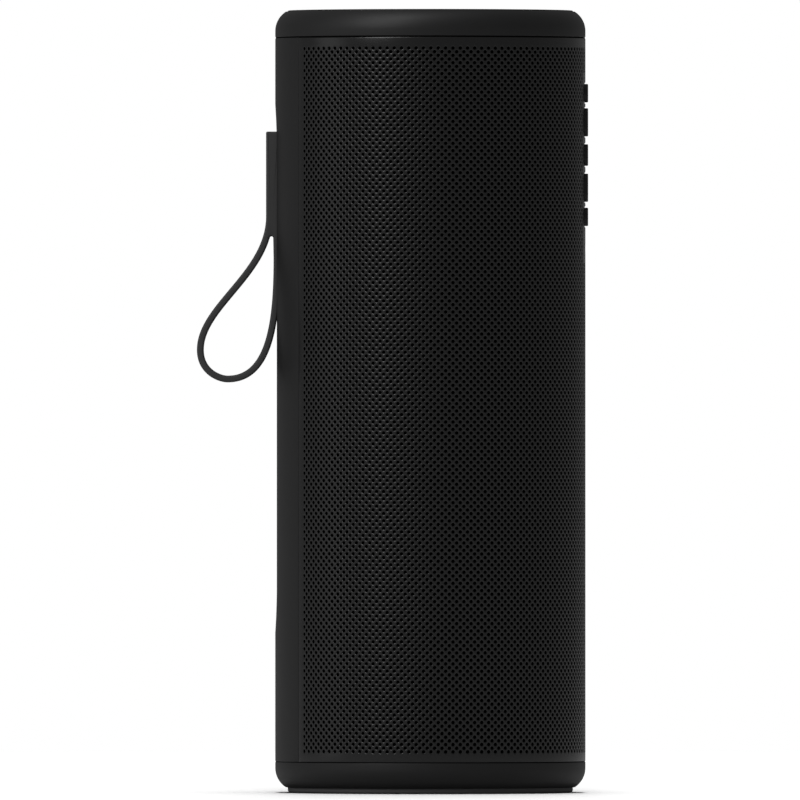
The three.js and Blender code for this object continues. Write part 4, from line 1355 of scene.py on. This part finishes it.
# ---------- Strap ----------
@dataclass
class Strap:
    """The carrying strap: a straight root that parts into a loop, moulded in one piece of silicone."""

    stature: Stature
    width: float = 8.4
    thickness: float = 1.6
    proud: float = 2.15
    top: float = 155.5
    edge: float = 0.5
    corner: float = 0.3
    fork: float = 0.42
    joins: tuple[float, float] = (136.5, 137.0)
    start: tuple[float, float] = (-37.85, 135.6)
    widest: tuple[float, float] = (-54.12, 104.15)
    lowest: tuple[float, float] = (-47.66, 97.3)
    landing: tuple[float, float] = (-36.08, 125.8)
    finish: tuple[float, float] = (-36.25, 135.6)
    handles: tuple[float, ...] = (13.53, 10.33, 5.11, 2.05, 10.08, 14.72)
    tab: tuple[float, float, float] = (2.6, 2.0, 0.5)
    tab_height: float = 148.0
    tab_ends: tuple[float, float] = (-0.4, 1.2)
    bend: tuple[float, float] = (139.0, 131.0)
    curve_points: int = 80
    loop_points: int = 420
    root_points: int = 200
    lead: int = 5
    tail: int = 60

    @property
    def face(self) -> float:
        """Where the root's face stands along X."""
        return -(self.stature.radius + self.proud)

    @property
    def back(self) -> float:
        """Where the root's back stands along X."""
        return -(self.stature.radius + self.proud - 2 * self.thickness)

    def centre_line(self) -> Array:
        """The loop's centre line, evenly spaced.

        Three cubic curves meet at the widest and the lowest points: each place is the sum of the four
        control points weighted by (1-t)^3, 3t(1-t)^2, 3t^2(1-t) and t^3. A straight run ends it.

        Returns:
            Its points in X and Z.
        """
        a, b, c, d, e, f = self.handles
        down, side = np.array([0, -1.0]), np.array([1.0, 0])
        marks = (self.start, self.widest, self.lowest, self.landing, self.finish)
        begin, wide, low, land, end = (np.array(mark) for mark in marks)
        curves = ((begin, begin + a * down, wide - b * down, wide),
                  (wide, wide + c * down, low - d * side, low),
                  (low, low + e * side, land + f * down, land))
        t = np.linspace(0, 1, self.curve_points)[:, None]
        weights = ((1 - t) ** 3, 3 * t * (1 - t) ** 2, 3 * t**2 * (1 - t), t**3)
        line = [sum(weight * point for weight, point in zip(weights, curve)) for curve in curves]
        line.append(land + t * (end - land))
        return spaced(np.concatenate([line[0], *(part[1:] for part in line[1:])]), self.loop_points)

    def boundaries(self) -> tuple[Array, Array, Array, Array]:
        """The strap's outer line and the loop's inner line, point for point, each with its outward way.

        Both are the centre line moved sideways by half the thickness. They stop where the legs' inner
        lines are a fork's width apart. From there the inner line is half a circle over the fork, and the
        outer line goes up the root's back, over its top and down its face.

        Returns:
            Outer points, their ways out, inner points, and their ways out into the hole.
        """
        line = self.centre_line()
        out, half = sideways(line), self.thickness / 2
        outer, inner = line + out * half, line - out * half
        tail = inner[-self.tail:]
        apart = np.interp(inner[:, 1], tail[:, 1], tail[:, 0]) - inner[:, 0] > 2 * self.fork
        front = np.argmax(apart & (np.arange(len(line)) > self.lead))
        level = inner[front, 1]
        rear = len(line) - 1 - np.argmax(inner[::-1, 1] < level)
        legs = slice(front, rear + 1)
        middle = (inner[front] + inner[rear]) / 2
        radius = (inner[rear, 0] - inner[front, 0]) / 2
        turn = np.linspace(0, pi, self.root_points + 2)[1:-1]
        arc = middle + radius * np.stack([np.cos(turn), np.sin(turn)], axis=1)
        arc_out = (middle - arc) / radius
        back_join, face_join = self.joins
        rise = filleted([(self.back, max(outer[rear, 1], back_join), 0.0),
                         (self.back, self.top, self.corner), (self.face, self.top, self.corner),
                         (self.face, face_join, 0.0)])
        over = np.concatenate([outer[rear:], rise, outer[: front + 1]])
        root = spaced(over, self.root_points + 2)[1:-1]
        root_out = sideways(root)
        return (np.concatenate([outer[legs], root]), np.concatenate([out[legs], root_out]),
                np.concatenate([inner[legs], arc]), np.concatenate([-out[legs], arc_out]))

    def section(self, outer: Array, outer_way: Array, inner: Array, inner_way: Array) -> Array:
        """Carries the strap's section round it.

        Over each edge the point lies in from the side by the edge's radius times (1 - cosine) and across by
        the radius times the sine. Between the edges it goes straight from one side to the other.

        Args:
            outer: The outer line.
            outer_way: Its ways out.
            inner: The inner line.
            inner_way: Its ways out.

        Returns:
            The grid, a row for each point of the section.
        """
        half, edge = self.width / 2, self.edge

        def over(line: Array, way: Array) -> list[tuple[Array, float]]:
            """The line's places and their Y, from the face to the side."""
            turns = np.linspace(0, pi / 2, 6)
            return [(line - way * edge * (1 - cos(turn)), half - edge + edge * sin(turn)) for turn in turns]

        outer_edge, inner_edge = over(outer, outer_way), over(inner, inner_way)[::-1]
        shares = np.linspace(0, 1, 6)[1:-1]
        side = [(outer_edge[-1][0] * (1 - s) + inner_edge[0][0] * s, half) for s in shares]
        right = [*outer_edge, *side, *inner_edge]
        rings = right + [(place, -y) for place, y in right[::-1]]
        return np.stack([np.insert(place, 1, y, axis=1) for place, y in rings])

    def tab_rings(self) -> Array:
        """The tab behind the root, which goes through the groove's floor: rounded rings along X."""
        start, end = (self.back + way for way in self.tab_ends)
        rings = [(0.0, 0.0, start), (1.0, 0.0, start), (1.0, 0.0, end), (0.0, 0.0, end)]
        return pad(self.tab, rings, self.tab_height)

    def build(self, wardrobe: Wardrobe) -> None:
        """Makes and dresses the strap, which is tied to no body.

        Args:
            wardrobe: The finishes.
        """
        surface = Surface()
        surface.grid(self.section(*self.boundaries()), closed=True)
        surface.grid(self.tab_rings(), (self.back, 0.0, self.tab_height))
        piece = surface.make("silicone_strap", sharp=60)
        wardrobe.fit(piece, Look.SILICONE, "", ["strap_root", "strap_loop"])
        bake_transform(piece)


# ---------- Port flap ----------
@dataclass
class PortFlap:
    """The lid over the charging port, its plug, and the small plate that holds its lower end."""

    stature: Stature
    plug: tuple[float, float, float] = (4.47, 1.63, 1.57)
    plug_edge: float = 0.2
    lid_corner: float = 1.4
    anchor_corner: float = 1.2
    thickness: float = 0.75
    overlap: tuple[float, float] = (0.2, 0.3)
    pinch: float = 0.01
    edge: float = 0.22
    scoop: tuple[float, float, float] = (3.0, 1.4, 0.25)
    scoop_drop: float = 2.4
    face_rings: int = 15

    def lid(self) -> bpy.types.Object:
        """The lid: a rounded plate with a shallow finger scoop at its top, and a plug behind it.

        The scoop is a bowl whose depth is its greatest times (1 - distance squared), where the distance is
        that of an ellipse, and 0 beyond it.

        Returns:
            The lid with its plug.
        """
        low, high = extent("port_flap")
        half, tall, centre = outline_of("port_flap")
        face, tip, port = float(low[0]), float(high[0]), self.stature.port_height
        back = face + self.thickness
        seat, buried = self.overlap
        sizes = (half, tall, self.lid_corner)
        rings = [(self.pinch, 0.0, back), (1.0, 0.0, back), (1.0, 0.0, back - seat)]
        rings += [(1.0, -inset, face + drop) for inset, drop in rounding(self.edge)]
        shape = list(pad(sizes, rings, centre))
        across, up, deep = self.scoop
        for share in np.linspace(1, 0, self.face_rings + 1)[1:]:
            line = frame_line(*sizes, grow=-self.edge) * share
            bowl = 1 - (line[:, 0] / across) ** 2 - ((line[:, 1] - tall + self.scoop_drop) / up) ** 2
            shape.append(facing(line, face + deep * np.clip(bowl, 0, 1), centre))
        surface = Surface()
        surface.grid(np.stack(shape), (face + self.thickness / 2, 0.0, centre))
        end = (1.0, -self.plug_edge, tip)
        plug = [(1.0, 0.0, back - buried), (1.0, 0.0, tip - self.plug_edge), end, (0.0, *end[1:])]
        surface.grid(pad(self.plug, plug, port), (back, 0.0, port))
        return surface.make("port_lid")

    def anchor(self) -> bpy.types.Object:
        """The holding plate below the lid: a rounded pad that closes to a point behind.

        Returns:
            The plate.
        """
        half, tall, centre = outline_of("flap_anchor")
        face = float(extent("flap_anchor")[0][0])
        rings = [(share, 0.0, face + self.thickness) for share in (self.pinch, 1.0)]
        rings += [(1.0, -inset, face + drop) for inset, drop in rounding(self.edge)]
        rings += [(share, -self.edge, face) for share in np.linspace(1, 0, 5)[1:]]
        shape = pad((half, tall, self.anchor_corner), rings, centre)
        return shaped("port_lid_anchor", shape, (face + self.thickness / 2, 0.0, centre))

    def build(self, wardrobe: Wardrobe) -> None:
        """Makes and dresses the lid and its anchor."""
        wardrobe.fit(self.lid(), Look.RUBBER, "flap", ["port_flap"])
        wardrobe.fit(self.anchor(), Look.RUBBER, "speaker_body", ["flap_anchor"])


# ---------- Keys ----------
class Mark(Enum):
    """The plain sign on each key."""

    POWER = "power"
    PLUS = "plus"
    PLAY = "play"
    MINUS = "minus"
    DOT = "dot"


@dataclass
class KeyColumn:
    """The five keys, their raised signs, and the status light below them."""

    stature: Stature
    corner: float = 1.9
    flange: float = 0.6
    edge: float = 0.2
    dish: float = 0.14
    stroke: float = 0.26
    sign_root: float = 0.02
    sign_rise: float = 0.15
    sign_points: int = 12
    sign_gap: float = 0.01
    barely: float = 0.02
    lens_shoulder: float = 0.25
    lens_dome: float = 0.2
    lens_rim: float = 0.93
    lens_steps: int = 48
    face_rings: int = 9
    marks: dict[str, Mark] = field(default_factory=lambda: {
        "power_key": Mark.POWER, "volume_up_key": Mark.PLUS, "play_key": Mark.PLAY,
        "volume_down_key": Mark.MINUS, "pairing_key": Mark.DOT})

    def sizes(self, name: str) -> tuple[float, float, float, float]:
        """A key's half width, half height, corner radius and middle height, without its flange."""
        half, tall, height = outline_of(name)
        tall -= self.flange
        return half - self.flange, tall, min(self.corner, tall - self.barely), height

    def cutouts(self) -> list[Cutout]:
        """The grille's openings for the keys and the light.

        Returns:
            One for each key, and the light's.
        """
        gap = self.stature.gap
        sizes = map(self.sizes, self.marks)
        found = [Cutout(z, half + gap, tall + gap, corner + gap) for half, tall, corner, z in sizes]
        _, lens, height = outline_of("status_light")
        return [*found, Cutout(height, lens + gap, lens + gap, lens + gap - self.barely)]

    def key(self, name: str) -> bpy.types.Object:
        """One key: its flange under the skin, its side, its rounded edge and its dished face.

        The dish's depth is the dish size times (1 - share squared), where the share is 1 at the face's edge.

        Args:
            name: The key's node.

        Returns:
            The key.
        """
        half, tall, corner, height = self.sizes(name)
        face = float(extent(name)[1][0])
        front = sqrt(self.stature.inner**2 - (half + self.flange) ** 2) - self.stature.gap / 2
        spans = [(0.0, 0.0, front - self.flange), (1.0, self.flange, front - self.flange),
                 (1.0, self.flange, front), (1.0, 0.0, front)]
        spans += [(1.0, -inset, face - drop) for inset, drop in rounding(self.edge)]
        shares = np.linspace(1, 0, self.face_rings + 1)[1:]
        spans += [(share, -self.edge, face - self.dish * (1 - share**2)) for share in shares]
        shape = pad((half, tall, corner), spans, height)
        return shaped(name.replace("_key", "_button"), shape, (face - 1, 0.0, height), sharp=50)

    def strokes(self, mark: Mark) -> list[Array]:
        """A sign's centre lines in millimetres, about its middle.

        Args:
            mark: The sign.

        Returns:
            Its lines, a row for each point.
        """
        def arc(radius: float, start: float, end: float, count: int) -> Array:
            """An arc about the origin between two angles in degrees."""
            turn = np.linspace(radians(start), radians(end), count)
            return np.stack([np.cos(turn), np.sin(turn)], axis=1) * radius

        bar = np.array([[-1.1, 0], [1.1, 0]])
        lines = {
            Mark.POWER: [arc(0.95, 125, 415, 40), np.array([[0, 0.35], [0, 1.15]])],
            Mark.PLUS: [bar, bar[:, ::-1]],
            Mark.PLAY: [np.array([[-0.75, -1.05], [1.05, 0], [-0.75, 1.05], [-0.75, -1.05]])],
            Mark.MINUS: [bar],
            Mark.DOT: [arc(0.7, 0, 360, 49)],
        }
        return lines[mark]

    def sign(self, name: str, mark: Mark) -> bpy.types.Object:
        """A key's raised sign: a low rounded rib along each centre line.

        The rib's section is half an ellipse, so each place is the line's, plus its sideways way times the
        half stroke times the cosine, raised by the rib's height times the sine. Each end closes to a point.

        Args:
            name: The key's node.
            mark: The sign on it.

        Returns:
            The sign.
        """
        height = self.sizes(name)[3]
        face = float(extent(name)[1][0])
        turn = np.linspace(0, pi, 9)
        surface = Surface()
        for line in self.strokes(mark):
            line = spaced(line, max(self.sign_points, 3 * len(line)))
            side, taper = -sideways(line), np.ones(len(line))
            if np.linalg.norm(line[0] - line[-1]) > self.sign_gap:
                taper[[0, -1]] = 0.0
            reach = taper[:, None] * self.stroke / 2 * np.cos(turn)
            place = line[:, None] + side[:, None] * reach[..., None]
            rise = face - self.dish - self.sign_root + self.sign_rise * taper[:, None] * np.sin(turn)
            shape = np.stack([rise, place[..., 0], height + place[..., 1]], axis=-1)
            surface.grid(shape, (0, 0, height), round_rows=False)
        return surface.make(name.replace("_key", "_sign"), sharp=70)

    def light(self) -> bpy.types.Object:
        """The status light's lens. Its front falls away from the middle by the dome times share squared.

        Returns:
            The lens.
        """
        back, tip = (float(corner[0]) for corner in extent("status_light"))
        _, radius, height = outline_of("status_light")
        profile = [(0.0, back), (radius, back), (radius, tip - self.lens_shoulder)]
        shares = np.linspace(self.lens_rim, 0, 8)
        profile += [(radius * share, tip - self.lens_dome * share**2) for share in shares]
        turned = lathed(np.array(profile), self.lens_steps)
        shape = np.stack([turned[..., 2], turned[..., 0], height + turned[..., 1]], axis=-1)
        return shaped("status_lens", shape, (back + 0.5, 0, height))

    def build(self, wardrobe: Wardrobe) -> None:
        """Makes and dresses the keys, their signs and the light.

        Args:
            wardrobe: The finishes.
        """
        for name, mark in self.marks.items():
            body = f"{name}_body"
            wardrobe.fit(self.key(name), Look.KEY, body, [name])
            wardrobe.fit(self.sign(name, mark), Look.MARK, body, [])
        wardrobe.fit(self.light(), Look.LENS, "speaker_body", ["status_light"])


# ---------- Inner parts ----------
@dataclass
class InnerParts:
    """Dresses the frame's own solids that stay: everything inside the skin."""

    looks: dict[str, Look] = field(default_factory=lambda: {
        "gasket": Look.SEAL, "screw": Look.STEEL, "pin": Look.STEEL, "receptacle": Look.STEEL,
        "board": Look.BOARD, "switch": Look.KEY, "membrane": Look.SEAL, "carrier": Look.CABINET,
        "cabinet": Look.CABINET, "cradle": Look.CABINET, "cell": Look.SLEEVE, "magnet": Look.MAGNET,
        "cone": Look.PAPER, "surround": Look.SEAL, "plate": Look.MAGNET, "frame": Look.MAGNET})

    def build(self, wardrobe: Wardrobe, nodes: dict[str, bpy.types.Object]) -> None:
        """Gives each node that still shows the finish whose word its name holds.

        Args:
            wardrobe: The finishes.
            nodes: The frame's nodes by name.
        """
        for name, node in sorted(nodes.items()):
            if node.hide_render:
                continue
            look = next(look for word, look in self.looks.items() if word in name)
            wardrobe.dress(node, look)
            LOG.info("%s: %s", name, look.name.lower())


# ---------- Studio ----------
@dataclass(frozen=True)
class Softbox:
    """A rectangular light that looks at the speaker's middle, or straight down where its rise is 90.

    It lights either the floor alone or everything but the floor. The turn goes round from -Y towards +X and
    the rise goes up from the floor, both in degrees. The distance, the width and the height are in metres,
    and the power is in watts.
    """

    name: str
    turn: float
    rise: float
    far: float
    size: tuple[float, float]
    power: float
    on_floor: bool = False

    def build(self, floor: bpy.types.Object) -> None:
        """Hangs the light and links it to what it lights.

        Args:
            floor: The floor, which only some lights reach.
        """
        light = bpy.data.lights.new(self.name, "AREA")
        light.shape, light.size, light.size_y, light.energy = "RECTANGLE", *self.size, self.power
        lamp = bpy.data.objects.new(self.name, light)
        turn, rise = radians(self.turn), radians(self.rise)
        way = Vector((sin(turn) * cos(rise), -cos(turn) * cos(rise), sin(rise)))
        lamp.location = Vector((0, 0, extent("grille")[1][2] * MM / 2)) + way * self.far
        lamp.rotation_euler = way.to_track_quat("Z", "Y").to_euler() if self.rise < 90 else (0, 0, 0)
        bpy.context.scene.collection.objects.link(lamp)
        chosen = bpy.data.collections.new(f"{self.name}_lights")
        chosen.objects.link(floor)
        chosen.collection_objects[0].light_linking.link_state = "INCLUDE" if self.on_floor else "EXCLUDE"
        lamp.light_linking.receiver_collection = chosen


@dataclass
class Studio:
    """A pale floor, soft lights and the camera."""

    lens: float = 1500.0
    sensor: float = 36.0
    frame: float = 0.18825
    middle: tuple[float, float] = (-0.00714, 0.09236)
    ambient: float = 0.155
    floor_reach: float = 900.0
    floor_tones: tuple[float, float] = (0.3, 0.95)
    sight: float = 100.0
    lights: tuple[Softbox, ...] = (
        Softbox("key_softbox", -42, 43, 1.6, (0.5, 1.7), 9.5),
        Softbox("side_softbox", -80, 10, 1.8, (0.7, 1.4), 1.2),
        Softbox("high_softbox", -20, 80, 1.6, (1.0, 1.0), 1.2),
        Softbox("floor_softbox", 0, 90, 8.0, (1.75, 2.9), 230, on_floor=True),
        Softbox("floor_strip", 0, 90, 8.1, (1.45, 20.7), 760, on_floor=True),
    )

    def camera(self) -> None:
        """Stands the camera level in front of -Y, as far off as the lens needs for that frame width."""
        camera = bpy.data.cameras.new("camera")
        camera.lens, camera.sensor_width, camera.clip_end = self.lens, self.sensor, self.sight
        stand = bpy.data.objects.new("camera", camera)
        stand.location = (self.middle[0], -self.frame * self.lens / self.sensor, self.middle[1])
        stand.rotation_euler = (pi / 2, 0, 0)
        bpy.context.scene.collection.objects.link(stand)
        bpy.context.scene.camera = stand

    def floor(self) -> bpy.types.Object:
        """A round pale floor, lighter to the camera than to the speaker, so that it bounces little light.

        Returns:
            The floor.
        """
        reach = np.linspace(0, 1, 40) ** 2 * self.floor_reach
        piece = shaped("floor", lathed(np.stack([reach, 0 * reach], axis=1), 96), (0, 0, -10))
        nodes = Nodes(bpy.data.materials.new("pale_floor"))
        seen = nodes.value("ShaderNodeLightPath", output="Is Camera Ray")
        tone = nodes.blended(seen, *((tone, tone, tone) for tone in self.floor_tones))
        matt = nodes.add("ShaderNodeBsdfDiffuse", {}, {"Color": tone})
        nodes.add("ShaderNodeOutputMaterial", {}, {"Surface": matt.outputs[0]})
        piece.data.materials.append(nodes.owner)
        return piece

    def world(self) -> None:
        """White behind the speaker, and a dim even light from all round."""
        world = bpy.data.worlds.new("studio")
        bpy.context.scene.world = world
        nodes = Nodes(world)
        seen = nodes.value("ShaderNodeLightPath", output="Is Camera Ray")
        lit, white = (nodes.add("ShaderNodeBackground", {}, {"Color": (1, 1, 1, 1), "Strength": strength})
                      for strength in (self.ambient, 1.0))
        both = nodes.add("ShaderNodeMixShader", {}, {0: seen, 1: lit.outputs[0], 2: white.outputs[0]})
        nodes.add("ShaderNodeOutputWorld", {}, {0: both.outputs[0]})

    def build(self) -> None:
        """Sets the whole studio up."""
        self.world()
        floor = self.floor()
        for light in self.lights:
            light.build(floor)
        self.camera()
        bpy.context.scene.view_settings.view_transform = "Standard"


def main() -> None:
    """Builds the speaker in order."""
    logging.basicConfig(level=logging.INFO, format="%(message)s")
    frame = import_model()
    wardrobe, stature = Wardrobe(), Stature()
    keys = KeyColumn(stature)
    EndCaps(stature).build(wardrobe)
    Grille(stature, keys.cutouts()).build(wardrobe)
    Spine(stature).build(wardrobe)
    Strap(stature).build(wardrobe)
    PortFlap(stature).build(wardrobe)
    keys.build(wardrobe)
    InnerParts().build(wardrobe, frame["nodes"])
    Studio().build()


if __name__ == "__main__":
    main()
